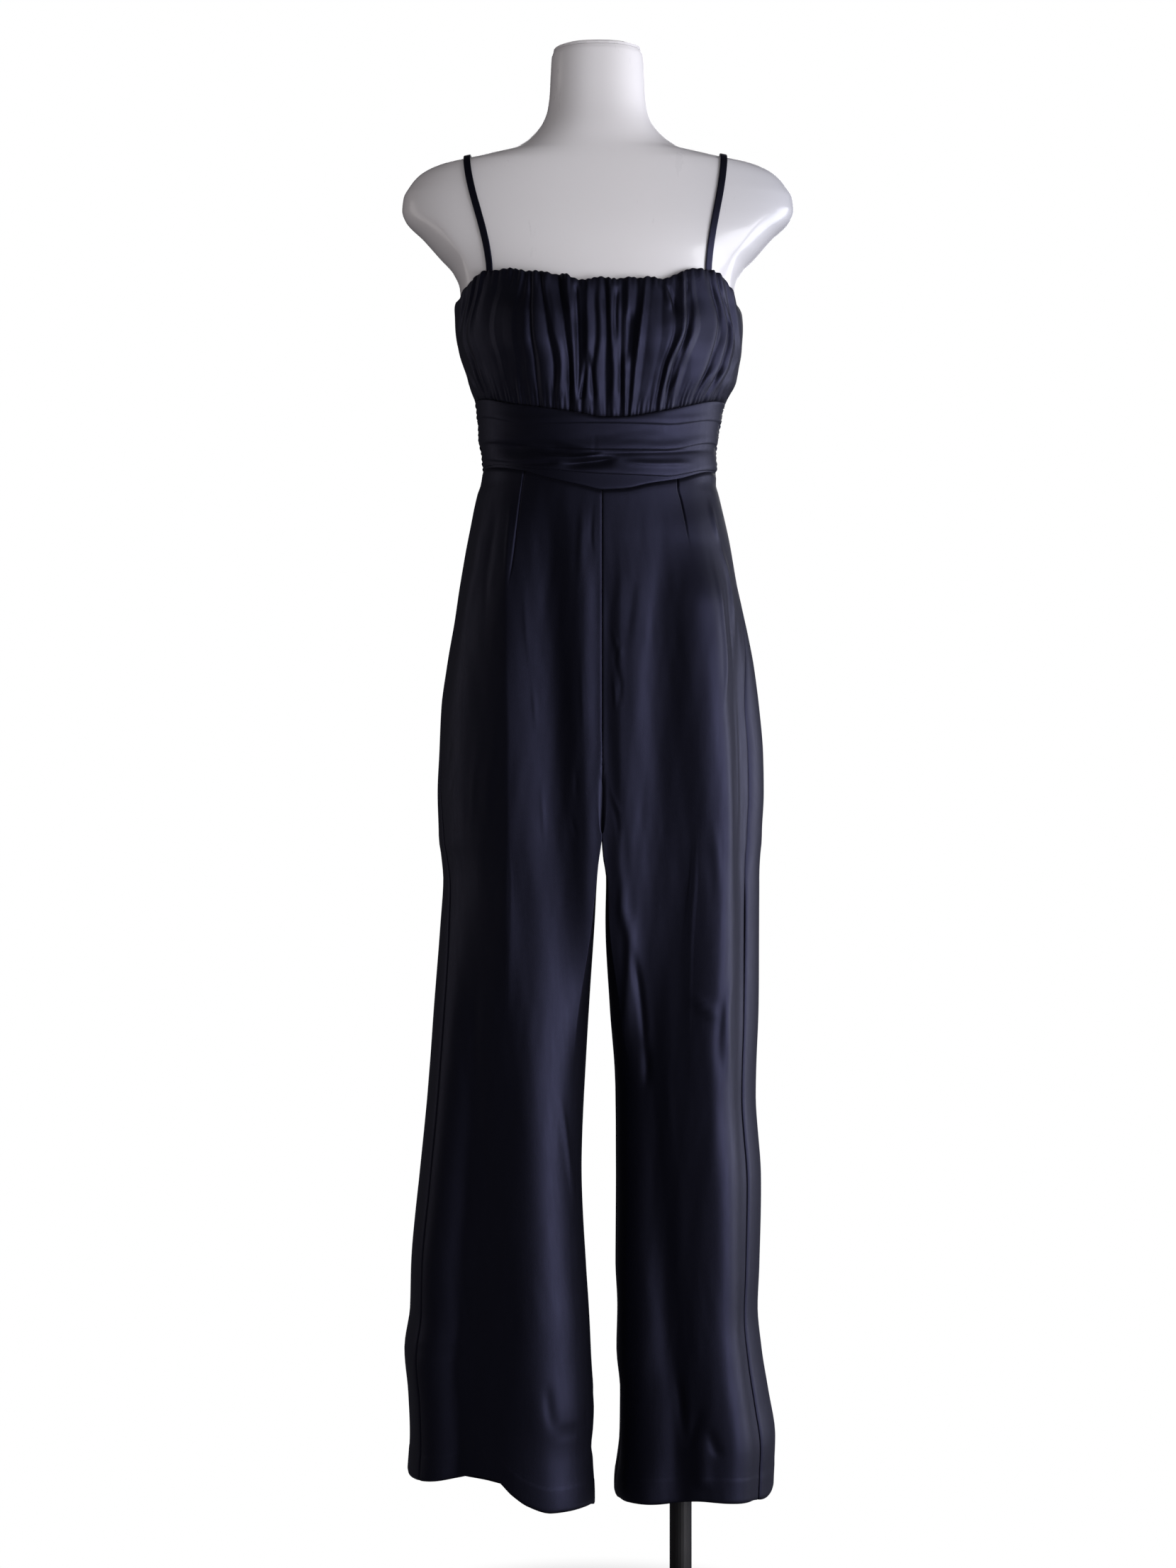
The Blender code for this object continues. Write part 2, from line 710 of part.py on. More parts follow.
def crotch_share(z):
    """0 above the crotch curve and 1 below it, along a quarter of an ellipse."""
    t = min(max((CROTCH_TOP - z) / (CROTCH_TOP - CROTCH), 0.0), 1.0)
    return 1 - math.sqrt(1 - t * t)


def side_seam(side, z):
    """The side seam swings forward from the hip down, sooner on the left."""
    bottom = LEFT_SEAM_BOTTOM if side > 0 else RIGHT_SEAM_BOTTOM
    return SIDE_SEAM_LOW * (1 - ease(bottom, SIDE_SEAM_TOP, z))


def trouser_heights():
    """Heights of the rows, closer together round the crotch curve."""
    drop = CROTCH_TOP - CROTCH
    curve = [CROTCH_TOP - drop * math.sin(math.radians(angle)) for angle in CROTCH_ANGLES]
    return [z * MM for z in HIP_ROWS] + curve + [z * MM for z in LEG_ROWS]


def panel_places(side, z, is_front):
    """Places across a panel: even over the body, and turning in at the middle along the crotch."""
    seam, share = side_seam(side, z), crotch_share(z)
    turned_in = mix(1.0, INSEAM if is_front else 4 - INSEAM, share)
    if share > 0:
        inner = [CORNER_STEP] + [mix(1.0, turned_in, k / 3) for k in range(4)]
    else:
        inner = [mix(MIDDLE_STEP, 1.0, (k + 1) / 5) for k in range(5)]
    start = seam if is_front else -seam
    outer = [mix(start, MIDDLE_STEP, k / PANEL_STEPS) for k in range(PANEL_STEPS + 1)]
    places = outer + inner
    return places if is_front else [4 - place for place in places[::-1]]


def trouser_height(z, x, top_line, hem_column):
    """The height that row z has at this place, once the waist seam and the hem have their shapes."""
    highest, lowest = trouser_heights()[0], trouser_heights()[-1]
    height = z + (top_line(x) - SEAM_GAP / 2 - highest) * ease(WAIST_SHAPING, highest, z)
    hem = HEM.at(hem_column, abs(x))
    return height + (hem - lowest) * (1 - ease(lowest, HEM_SHAPING, z))


def trouser_panel(name, side, is_front):
    hem_column = ("left" if side > 0 else "right") + ("_front" if is_front else "_back")
    top_line = front_waist_seam if is_front else back_waist_seam
    grid = []
    for z in trouser_heights():
        places = panel_places(side, z, is_front)
        for j, inwards in ((0, 1), (-1, -1)):
            speed = (leg(side, z, places[j] + 0.01) - leg(side, z, places[j] - 0.01)).length / 0.02
            places[j] += inwards * SEAM_GAP / 2 / max(speed, SHORTEST_SPEED)
        row = []
        for u in places:
            height = trouser_height(z, leg(side, z, u).x, top_line, hem_column)
            point = leg(side, height, u)
            direction = outward(lambda t: leg(side, height, t), u)
            if direction.dot(point - leg(side, height, u + 2)) < 0:
                direction.negate()
            from_side = (point - leg(side, height, places[0 if is_front else -1])).length
            row.append(rise_pair(point, direction, fold_rise(point, from_side), CLOTH))
        grid.append(row)
    wall(name, grid, cloth)


def make_trousers():
    for side, name in ((-1, "right"), (1, "left")):
        trouser_panel("trouser_front_" + name, side, True)
        trouser_panel("trouser_back_" + name, side, False)


# Straps


def shoulder_ridge(x):
    """Height at which the top of the shoulder passes this distance across."""
    low, high = FORM.knots[FORM.columns["half"].index(max(FORM.columns["half"]))], NECK_TOP
    for _ in range(30):
        middle = mix(low, high, 0.5)
        low, high = (middle, high) if FORM.at("half", middle) > abs(x) else (low, middle)
    return low


def strap_edge(front_x, top_x, back_x):
    """One edge of a strap: it lies on the form and spans its hollows in straight runs."""
    ridge = shoulder_ridge(top_x)
    contact = []
    for is_front, end_x in ((True, front_x), (False, back_x)):
        end = (BODICE_TOP.at("height", end_x) if is_front else BACK_TOP) + STRAP_END_GAP
        run = []
        for k in range(STRAP_CONTACTS):
            t = (k + 0.5) / STRAP_CONTACTS if k else 0.0
            z = mix(end, ridge, math.sin(t * math.pi / 2))
            x = mix(end_x, top_x, ease(end, ridge, z))
            depth = form_depth(x, z, is_front)
            if depth is not None:
                run.append(Vector((x, -depth if is_front else depth, z)))
        contact += run if is_front else run[::-1]
    hull = []
    for point in contact:
        while len(hull) > 1:
            a, b = hull[-2], hull[-1]
            bend = (b.y - a.y) * (point.z - b.z) - (b.z - a.z) * (point.y - b.y)
            if bend < 0:
                break
            hull.pop()
        hull.append(point)
    lengths = [0.0]
    for a, b in zip(hull, hull[1:]):
        lengths.append(lengths[-1] + (b - a).length)
    edge = []
    for k in range(STRAP_STEPS + 1):
        place = lengths[-1] * k / STRAP_STEPS
        i = min(bisect_right(lengths, place) - 1, len(hull) - 2)
        share = (place - lengths[i]) / (lengths[i + 1] - lengths[i])
        edge.append(hull[i].lerp(hull[i + 1], share))
    return edge


def make_straps():
    half = STRAP_WIDTH / 2
    for name, places in STRAPS.items():
        sides = [strap_edge(*(x + shift for x in places)) for shift in (-half, half)]
        middles = [a.lerp(b, 0.5) for a, b in zip(*sides)]
        rings = []
        for k, middle in enumerate(middles):
            along = middles[min(k + 1, STRAP_STEPS)] - middles[max(k - 1, 0)]
            across = (sides[1][k] - sides[0][k]).normalized()
            up = across.cross(along).normalized()
            lifted = middle + up * (STRAP_CLEAR + STRAP_THICKNESS / 2)
            ring = []
            for j in range(STRAP_SIDES):
                turn = 2 * math.pi * (j + 0.5) / STRAP_SIDES
                x, lift = rounded(half, STRAP_THICKNESS / 2, turn, 3)
                ring.append(lifted + across * x + up * lift)
            rings.append(ring)
        loft(name, rings, cloth)


# Form and stand


def make_form():
    turns = [2 * math.pi * k / FORM_SIDES for k in range(FORM_SIDES)]
    heights = set(FORM.knots)
    for low, high in zip(FORM.knots, FORM.knots[1:]):
        if abs(FORM.at("half", high) - FORM.at("half", low)) > 12 * MM:
            heights.add(mix(low, high, 0.5))
    heights = sorted(heights, reverse=True)
    loft("dress_form", [[form(z, turn) for turn in turns] for z in heights], gloss_white)
    cap_bottom = NECK_TOP + SEAM_GAP
    rings = []
    for lift, share in CAP_RINGS:
        ring = [form(NECK_TOP, turn) * share for turn in turns]
        rings.append([Vector((point.x, point.y, cap_bottom + lift * MM)) for point in ring])
    loft("form_neck_cap", rings, gloss_white)


def turned(name, profile, steps, material):
    """A solid turned round the Z axis from (radius, height) points, top to bottom."""
    mesh = bpy.data.meshes.new(name)
    points = [(radius, 0, height) for radius, height in profile]
    mesh.from_pydata(points, [(i, i + 1) for i in range(len(points) - 1)], [])
    made = bpy.data.objects.new(name, mesh)
    parts.objects.link(made)
    screw = made.modifiers.new("turn", "SCREW")
    screw.steps = screw.render_steps = steps
    screw.use_merge_vertices = True
    screw.merge_threshold = 0.0001
    screw.use_smooth_shade = True
    mesh.materials.append(material)
    return made


def make_stand():
    pole_bottom = BASE_THICKNESS + SEAM_GAP
    pole_top = FORM_BOTTOM - SEAM_GAP
    pole = turned(
        "form_pole",
        ((0, pole_top), (POLE_RADIUS, pole_top), (POLE_RADIUS, pole_bottom), (0, pole_bottom)),
        POLE_STEPS,
        dark_steel,
    )
    bore = POLE_RADIUS + SEAM_GAP
    collar_top = BASE_THICKNESS + SEAM_GAP + COLLAR_HEIGHT
    collar_bottom = BASE_THICKNESS + SEAM_GAP
    collar = turned(
        "form_base_collar",
        (
            (bore, collar_top),
            (COLLAR_NECK - COLLAR_CHAMFER, collar_top),
            (COLLAR_NECK, collar_top - COLLAR_CHAMFER),
            (COLLAR_NECK, collar_bottom + COLLAR_FLARE[0]),
            (COLLAR_RADIUS, collar_bottom + COLLAR_FLARE[1]),
            (COLLAR_RADIUS, collar_bottom),
            (bore, collar_bottom),
            (bore, collar_top),
        ),
        POLE_STEPS,
        dark_steel,
    )
    for piece in (pole, collar):
        piece.location = (*POLE_PLACE, 0)
    turned(
        "form_base_plate",
        (
            (0, BASE_THICKNESS),
            (BASE_RADIUS - BASE_CHAMFER, BASE_THICKNESS),
            (BASE_RADIUS, BASE_THICKNESS - BASE_CHAMFER),
            (BASE_RADIUS, 0),
            (0, 0),
        ),
        BASE_STEPS,
        dark_steel,
    )


def principled(name, colour, roughness, metallic):
    material = bpy.data.materials.new(name)
    material.use_nodes = True
    shader = material.node_tree.nodes["Principled BSDF"]
    shader.inputs["Base Color"].default_value = (*colour, 1)
    shader.inputs["Roughness"].default_value = roughness
    shader.inputs["Metallic"].default_value = metallic
    return material


for old in list(bpy.data.objects):
    bpy.data.objects.remove(old)
parts = bpy.data.collections.new("jumpsuit_on_dress_form")
bpy.context.scene.collection.children.link(parts)
cloth = principled("black satin crepe", (0.012, 0.012, 0.020), 0.5, 0.0)
gloss_white = principled("white lacquer", (0.78, 0.77, 0.78), 0.35, 0.0)
dark_steel = principled("dark steel", (0.03, 0.03, 0.03), 0.35, 0.8)

make_form()
make_stand()
make_bodice()
make_drape()
make_lower_band()
make_back_band()
make_trousers()
make_straps()
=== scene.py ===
import math

import bpy
import numpy as np
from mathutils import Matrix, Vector


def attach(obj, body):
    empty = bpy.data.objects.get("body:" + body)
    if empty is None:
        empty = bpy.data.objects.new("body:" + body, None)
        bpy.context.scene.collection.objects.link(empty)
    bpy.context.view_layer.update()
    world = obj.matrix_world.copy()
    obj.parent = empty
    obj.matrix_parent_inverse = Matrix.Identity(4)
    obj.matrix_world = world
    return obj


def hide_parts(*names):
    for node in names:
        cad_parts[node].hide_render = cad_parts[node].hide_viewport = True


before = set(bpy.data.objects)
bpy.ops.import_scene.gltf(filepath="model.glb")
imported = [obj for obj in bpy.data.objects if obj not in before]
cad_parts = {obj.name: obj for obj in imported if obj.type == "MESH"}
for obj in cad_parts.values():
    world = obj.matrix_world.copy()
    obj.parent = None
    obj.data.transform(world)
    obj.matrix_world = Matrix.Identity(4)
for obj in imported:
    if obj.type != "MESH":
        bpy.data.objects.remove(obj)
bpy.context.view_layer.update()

mm = 0.001
eyeHeight = 0.920
eyeDistance = 3.0
eyeAcross = -0.0108
sideGap = 0.0012  # each torso piece ends this turn short of the side seam
sideRadius = 0.12  # a small turn times this is a distance


# Curves and tables. Sizes are in millimetres, heights above the floor


def curve(knots, values, place):
    # A curve through the values that never overshoots them, level past both ends
    knots, values = np.asarray(knots, float), np.asarray(values, float)
    place = np.clip(np.asarray(place, float), knots[0], knots[-1])
    gap = np.diff(knots)
    slope = np.diff(values) / gap
    tangent = np.zeros(len(knots))
    before, after = slope[:-1], slope[1:]
    turns = before * after > 0
    tangent[1:-1][turns] = 2 * before[turns] * after[turns] / (before[turns] + after[turns])
    i = np.clip(np.searchsorted(knots, place, side="right") - 1, 0, len(gap) - 1)
    t = (place - knots[i]) / gap[i]
    return (
        values[i] * (1 + 2 * t) * (1 - t) ** 2
        + values[i + 1] * t * t * (3 - 2 * t)
        + gap[i] * t * (1 - t) * (tangent[i] * (1 - t) - tangent[i + 1] * t)
    )


def table(columns, rows):
    ordered = np.array(sorted(rows), float) * mm
    return {name: (ordered[:, 0], ordered[:, i]) for i, name in enumerate(columns)}


def read(source, name, place):
    return curve(*source[name], place)


def ease(low, high, value):
    t = np.clip((value - low) / (high - low), 0, 1)
    return t * t * (3 - 2 * t)


def bell(offset, reach):
    return np.exp(-((offset / reach) ** 2))


def mix(a, b, share):
    return a + (b - a) * share


def unit(vectors):
    return vectors / np.maximum(np.linalg.norm(vectors, axis=-1, keepdims=True), 1e-9)


def uneven(place, seed):
    # A repeatable number from 0 to 1 for each whole place
    wave = np.sin(np.asarray(place, float) * 12.9898 + seed * 78.233) * 43758.5453
    return wave - np.floor(wave)


torsoSizes = table(
    ("height", "right", "left", "front", "back"),
    (
        (1478, 164, 165, 106, 99),
        (1458, 160, 161, 108, 99),
        (1430, 156, 157, 110, 98),
        (1411, 155, 157, 111, 96),
        (1390, 152, 156, 111, 93),
        (1356, 141, 150, 106, 87),
        (1337, 135, 141, 101, 83.5),
        (1319, 131, 134, 97, 81),
        (1300, 130, 131, 95, 79.5),
        (1282, 127, 128, 94, 79.5),
        (1263, 125, 129, 94, 82),
        (1245, 127, 128, 95, 87),
        (1233, 131, 131, 96, 91),
        (1186, 141, 142, 99, 102),
        (1140, 149, 150, 101, 111),
        (1094, 156, 160, 102, 117),
        (1048, 164, 169, 103, 119),
        (1002, 170, 175, 103, 118.5),
        (955, 172, 179, 102, 115),
        (909, 174, 180, 101, 111),
        (863, 173, 178, 100, 110),
    ),
)
legSizes = table(
    ("height", "rightOuter", "rightInner", "leftOuter", "leftInner", "front", "back"),
    (
        (863, 173, -3.6, 178, 4.2, 100, 110),
        (840, 170, -1, 176, 5.5, 99, 109),
        (817, 168, 1.2, 175, 9, 98, 108),
        (771, 171, 3.5, 175, 8, 96, 106),
        (678, 178, 9.6, 174, 12.7, 95, 104),
        (586, 185, 15, 171, 19, 96, 105),
        (493, 194, 20, 177, 19.6, 100, 110),
        (401, 203, 18, 175, 19, 104, 114),
        (355, 204, 16, 173, 21, 106, 116),
        (309, 210, 15, 177.5, 20, 108, 118),
        (262, 206, 13.5, 185, 24, 109, 119),
        (216, 204, 19, 192, 23.5, 110, 120),
        (160, 207, 15, 190, 18, 111, 120),
    ),
)
bodiceTop = table(
    ("across", "height"),
    (
        (-156, 1438),
        (-146, 1449),
        (-132, 1458),
        (-114, 1464),
        (-85, 1462),
        (-57, 1457),
        (-36, 1455),
        (-25, 1449),
        (0, 1450.5),
        (43, 1450.5),
        (53, 1453.5),
        (67, 1449.5),
        (86, 1459),
        (114, 1465),
        (131, 1460),
        (144, 1450),
        (157, 1432),
    ),
)
bustSeamLine = table(
    ("across", "height"),
    (
        (-131, 1333),
        (-88, 1322),
        (-58, 1317),
        (-22, 1311),
        (5, 1306),
        (28, 1306.5),
        (60, 1312),
        (88, 1319),
        (134, 1331),
    ),
)
frontWaistSeam = table(
    ("across", "height"),
    (
        (-126, 1259),
        (-81, 1252),
        (-57, 1244),
        (-17, 1234),
        (4, 1229.4),
        (28, 1230.8),
        (54, 1236.7),
        (88, 1243.6),
        (127, 1255),
    ),
)
hemLine = table(
    ("across", "rightFront", "rightBack", "leftFront", "leftBack"),
    (
        (15, 146, 146, 154, 154),
        (28, 157, 140, 160, 151),
        (42, 158, 136, 162, 150),
        (60, 158, 134, 163, 150),
        (77, 165, 133, 165, 150),
        (90, 175, 132, 167, 150),
        (108, 190, 133, 169, 150),
        (133, 192, 136, 168, 151),
        (160, 187, 143, 165, 156),
        (180, 182, 158, 160, 168),
        (192, 180, 170, 163, 178),
        (208, 178, 178, 168, 183),
    ),
)
garmentPower = 2.2
insidePowers = ((0.160, 0.450, 0.600, 0.700, 0.800, 0.868), (2.2, 2.5, 3.0, 3.6, 5.0, 7.0))
centreFront = 0.004
seamGap = 0.0003
legFormStart, legFormEnd = 0.868, 0.600
crotchTop, crotch = 0.985, 0.868
inseam = 1.8
backWaistSeam, backBustSeam, backTopHeight = 1.257, 1.330, 1.426
seamLevel, topLevel = 1.320, 1.456


def oval(along, across, turn, power):
    # An oval whose quarters are superellipses
    c, s = np.cos(turn), np.sin(turn)
    x = np.sign(c) * np.abs(c) ** (2 / power) * along
    return x, np.sign(s) * np.abs(s) ** (2 / power) * across


def bust(x, z):
    sides = bell(x - 0.072, 0.040) + bell(x + 0.072, 0.040)
    return 0.007 * sides * bell(z - 1.393, 0.042)


def torso(z, turn):
    # The cloth round the body: turn 0 is the left side and a quarter turn the front
    z, turn = np.broadcast_arrays(np.asarray(z, float), np.asarray(turn, float))
    half = np.where(np.cos(turn) > 0, read(torsoSizes, "left", z), read(torsoSizes, "right", z))
    isFront = np.sin(turn) > 0
    depth = np.where(isFront, read(torsoSizes, "front", z), read(torsoSizes, "back", z))
    x, y = oval(half, depth, turn, garmentPower)
    y = -y - np.where(isFront, bust(x, z) * np.sin(turn), 0)
    return np.stack([x, y, z], -1)


def leg(side, z, u):
    # A leg: u is 0 at the side, 1 at the front, 2 inside, 3 at the back and 4 at the side
    z, u = np.broadcast_arrays(np.asarray(z, float), np.asarray(u, float) % 4)
    name = "left" if side > 0 else "right"
    centre = side * centreFront + seamGap / 2
    above = z > legSizes["height"][0][-1]
    outer = np.where(above, read(torsoSizes, name, z), read(legSizes, name + "Outer", z))
    inner = np.where(above, centre, np.maximum(read(legSizes, name + "Inner", z), centre))
    front = np.where(above, read(torsoSizes, "front", z), read(legSizes, "front", z))
    back = np.where(above, read(torsoSizes, "back", z), read(legSizes, "back", z))
    depth = np.where(u < 2, front, back)
    turn = np.interp(u, (0, 1, 3, 4), (0, 0.75 * math.pi, 1.25 * math.pi, 2 * math.pi))
    power = np.where(np.cos(turn) < 0, curve(*insidePowers, z), garmentPower)
    x, y = oval((outer - inner) / 2, depth, turn, power)
    roundLeg = np.stack([(outer + inner) / 2 + x, -y, z], -1)
    x, y = oval(outer - inner, depth, u * math.pi / 2, garmentPower)
    isOuter = (u < 1) | (u > 3)
    hipX = np.where(isOuter, inner + x, inner)
    hipY = np.where(isOuter, -y, (u - 2) * depth)
    halfHip = np.stack([hipX, hipY, z], -1)
    point = mix(halfHip, roundLeg, 1 - ease(legFormEnd, legFormStart, z)[..., None])
    point[..., 0] *= side
    return point


def outward(section, place):
    # The level direction that points out of a section
    along = section(place + 0.01) - section(place - 0.01)
    level = np.stack([-along[..., 1], along[..., 0], np.zeros(along.shape[:-1])], -1)
    return unit(level)


def torsoGrid(top, bottom, turn, share):
    # Heights, points and outward directions of a piece that goes round the body
    z = mix(top, bottom, share)
    return z, torso(z, turn), outward(lambda t: torso(z, t), np.broadcast_to(turn, z.shape))


def fromSideSeams(turn, start=0):
    return np.minimum(turn - start, start + math.pi - turn) * sideRadius


def seen(points):
    # Across and height of each point as it shows from the front, on the plane through the middle
    share = eyeDistance / (eyeDistance + points[..., 1])
    across = eyeAcross + (points[..., 0] - eyeAcross) * share
    return across, eyeHeight + (points[..., 2] - eyeHeight) * share


# Creases. Each is (rise, right reach, left reach, fade in, fade out, line), where the line is
# drawn downwards, or from left to right, when right and left stand for above and below


def smoothLine(line, count=28):
    points = np.array(line, float) * mm
    if len(points) == 2:
        return mix(points[0], points[1], np.linspace(0, 1, count)[:, None])
    lengths = np.concatenate([[0], np.cumsum(np.linalg.norm(np.diff(points, axis=0), axis=1))])
    place = np.linspace(0, lengths[-1], count)
    padded = np.concatenate([[2 * points[0] - points[1]], points, [2 * points[-1] - points[-2]]])
    i = np.clip(np.searchsorted(lengths, place, side="right") - 1, 0, len(points) - 2)
    t = ((place - lengths[i]) / (lengths[i + 1] - lengths[i]))[:, None]
    a, b, c, d = (padded[i + k] for k in range(4))
    return 0.5 * (
        2 * b
        + (c - a) * t
        + (2 * a - 5 * b + 4 * c - d) * t**2
        + (3 * b - a - 3 * c + d) * t**3
    )


def creaseRelief(across, height, rows):
    total = np.zeros(across.shape)
    for rise, rightReach, leftReach, fadeIn, fadeOut, line in rows:
        path = smoothLine(line)
        margin = 3.2 * max(rightReach, leftReach) * mm
        low, high = path.min(0) - margin, path.max(0) + margin
        near = (across > low[0]) & (across < high[0]) & (height > low[1]) & (height < high[1])
        if not near.any():
            continue
        x, z = across[near][:, None], height[near][:, None]
        start, step = path[:-1], np.diff(path, axis=0)
        size = (step**2).sum(1)
        t = ((x - start[:, 0]) * step[:, 0] + (z - start[:, 1]) * step[:, 1]) / size
        t = np.clip(t, 0, 1)
        dx, dz = x - start[:, 0] - t * step[:, 0], z - start[:, 1] - t * step[:, 1]
        distance = dx**2 + dz**2
        nearest = distance.argmin(1)
        rowsHere = np.arange(len(nearest))
        distance = np.sqrt(distance[rowsHere, nearest])
        t, chosen = t[rowsHere, nearest], step[nearest]
        dx, dz = dx[rowsHere, nearest], dz[rowsHere, nearest]
        isRight = chosen[:, 0] * dz - chosen[:, 1] * dx > 0
        reach = np.where(isRight, rightReach, leftReach) * mm
        along = (nearest + t) / len(start)
        fade = ease(0, max(fadeIn, 0.001), along) * (1 - ease(1 - max(fadeOut, 0.001), 1, along))
        if isinstance(rise, tuple):
            rise = mix(rise[0], rise[1], along)
        total[near] += rise * mm * fade * bell(distance, reach)
    return total


def foldRelief(across, height, rows):
    # Long folds down the cloth. Each row is the line of the fold and how far it stands out at
    # foldHeights, its reach to the right and to the left, and the rounding of a sharp edge
    total = np.zeros(across.shape)
    knots = np.array(foldHeights[::-1]) * mm
    for line, rises, rightReach, leftReach, rounding in rows:
        offset = across - curve(knots, np.array(line[::-1]) * mm, height)
        rise = curve(knots, np.array(rises[::-1]) * mm, height)
        reach = np.where(offset > 0, rightReach, leftReach) * mm
        if rounding:
            away = np.sqrt(offset**2 + (rounding * mm) ** 2) - rounding * mm
            profile = np.exp(-away / reach)
        else:
            profile = bell(offset, reach)
        total += rise * ease(0, 0.090, foldStart - height) * profile
    return total


def streaks(across, height, seed, width, length, rise):
    # Uneven long ripples down the cloth
    total = 0
    for k in range(5):
        turn = 6.28 * uneven(k, seed)
        pace = (0.7 + 0.8 * uneven(k, seed + 3)) / width
        drift = 1.6 * np.sin(height / length * (1 + 0.6 * uneven(k, seed + 5)) * 6.28 + turn)
        swell = 0.6 + 0.4 * np.sin(height / length * 3.9 + 2.1 * turn)
        total = total + swell * np.sin(across * pace * 6.28 + turn * 3 + drift)
    return total * rise / 2.2


# Shells


def addMesh(name, vertices, quads, material, fabric=None):
    mesh = bpy.data.meshes.new(name)
    mesh.vertices.add(len(vertices))
    mesh.vertices.foreach_set("co", np.asarray(vertices, np.float32).ravel())
    mesh.loops.add(quads.size)
    mesh.loops.foreach_set("vertex_index", quads.astype(np.int32).ravel())
    mesh.polygons.add(len(quads))
    mesh.polygons.foreach_set("loop_start", np.arange(0, quads.size, 4, dtype=np.int32))
    mesh.update(calc_edges=True)
    if fabric is not None:
        layer = mesh.uv_layers.new(name="fabric")
        layer.data.foreach_set("uv", fabric[quads.ravel()].astype(np.float32).ravel())
    mesh.shade_smooth()
    mesh.materials.append(material)
    made = bpy.data.objects.new(name, mesh)
    bpy.context.scene.collection.objects.link(made)
    return made


def gridQuads(rows, columns, start=0):
    index = start + np.arange(rows * columns).reshape(rows, columns)
    corners = (index[:-1, :-1], index[1:, :-1], index[1:, 1:], index[:-1, 1:])
    return np.stack(corners, -1).reshape(-1, 4)


seamAllowance = {"depths": (0.0034, 0.0020, 0.0008), "meeting": 0.00018, "thinning": 0.004}


def turnedIn(outer, direction, thin, axis, last):
    # A seam allowance: past the edge the cloth turns to the inside, and it thins towards the seam
    outer, direction, thin = (np.moveaxis(grid, axis, 0) for grid in (outer, direction, thin))
    if last:
        outer, direction, thin = outer[::-1], direction[::-1], thin[::-1]
    edge, facing = outer[0], direction[0]
    away = edge - outer[2]
    away = unit(away - facing * (away * facing).sum(-1, keepdims=True))
    fromEdge = np.cumsum(np.linalg.norm(np.diff(outer, axis=0, prepend=outer[:1]), axis=-1), 0)
    thin = np.minimum(thin, mix(0.25, 1.0, ease(0, seamAllowance["thinning"], fromEdge)))
    direction = np.concatenate([unit(facing + away)[None], direction[1:]])
    depths = seamAllowance["depths"]
    meeting = edge + away * seamAllowance["meeting"]
    outer = np.concatenate([[meeting - facing * depth for depth in depths], outer])
    direction = np.concatenate([[away, away, away], direction])
    thin = np.concatenate([thin[:1]] * len(depths) + [thin])
    if last:
        outer, direction, thin = outer[::-1], direction[::-1], thin[::-1]
    return tuple(np.moveaxis(grid, 0, axis) for grid in (outer, direction, thin))


sides = {"top": (0, False), "bottom": (0, True), "start": (1, False), "end": (1, True)}


def shell(name, replaced, outer, direction, thickness, seams):
    # A closed thin wall: the outer points, the same moved in, and a rim round the edge
    grids = (outer, direction, np.ones(outer.shape[:2]))
    for seam in seams:
        grids = turnedIn(*grids, *sides[seam])
    outer, direction, thin = grids
    rows, columns = outer.shape[:2]
    inner = outer - direction * thickness * thin[..., None]
    count = rows * columns
    outerQuads = gridQuads(rows, columns)
    innerQuads = gridQuads(rows, columns, count)[:, ::-1]
    index = np.arange(count).reshape(rows, columns)
    border = np.concatenate([index[0, :-1], index[:-1, -1], index[-1, :0:-1], index[:0:-1, 0]])
    following = np.roll(border, -1)
    rim = np.stack([border, following, following + count, border + count], -1)
    alongSteps = np.linalg.norm(np.diff(outer, axis=1), axis=-1)
    downSteps = np.linalg.norm(np.diff(outer, axis=0), axis=-1)
    fabricAcross = np.concatenate([np.zeros((rows, 1)), np.cumsum(alongSteps, 1)], 1)
    fabricAcross -= fabricAcross[:, columns // 2][:, None]
    fabricDown = np.concatenate([np.zeros((1, columns)), np.cumsum(downSteps, 0)], 0)
    fabric = np.stack([fabricAcross, fabricDown], -1).reshape(-1, 2)
    made = addMesh(
        name,
        np.concatenate([outer.reshape(-1, 3), inner.reshape(-1, 3)]),
        np.concatenate([outerQuads, innerQuads, rim]),
        cloth,
        np.concatenate([fabric, fabric]),
    )
    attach(made, "root")
    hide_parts(replaced)
    return made


def edgeRoll(distance, depth, reach):
    # Cloth turning in towards a seam or a folded edge
    return -depth * np.exp(-distance / reach)


def spread(start, end, count, tight=5):
    # Places from start to end, closer together at both ends
    t = np.linspace(-1, 1, count)
    t = np.tanh(t * tight / 4) / np.tanh(tight / 4)
    return mix(start, end, (t + 1) / 2)


# Materials


class Value:
    def __init__(self, graph, socket):
        self.graph, self.socket = graph, socket

    def maths(self, operation, other):
        return self.graph.node("ShaderNodeMath", (self, other), operation=operation)

    def __add__(self, other):
        return self.maths("ADD", other)

    def __mul__(self, other):
        return self.maths("MULTIPLY", other)

    __radd__ = __add__
    __rmul__ = __mul__


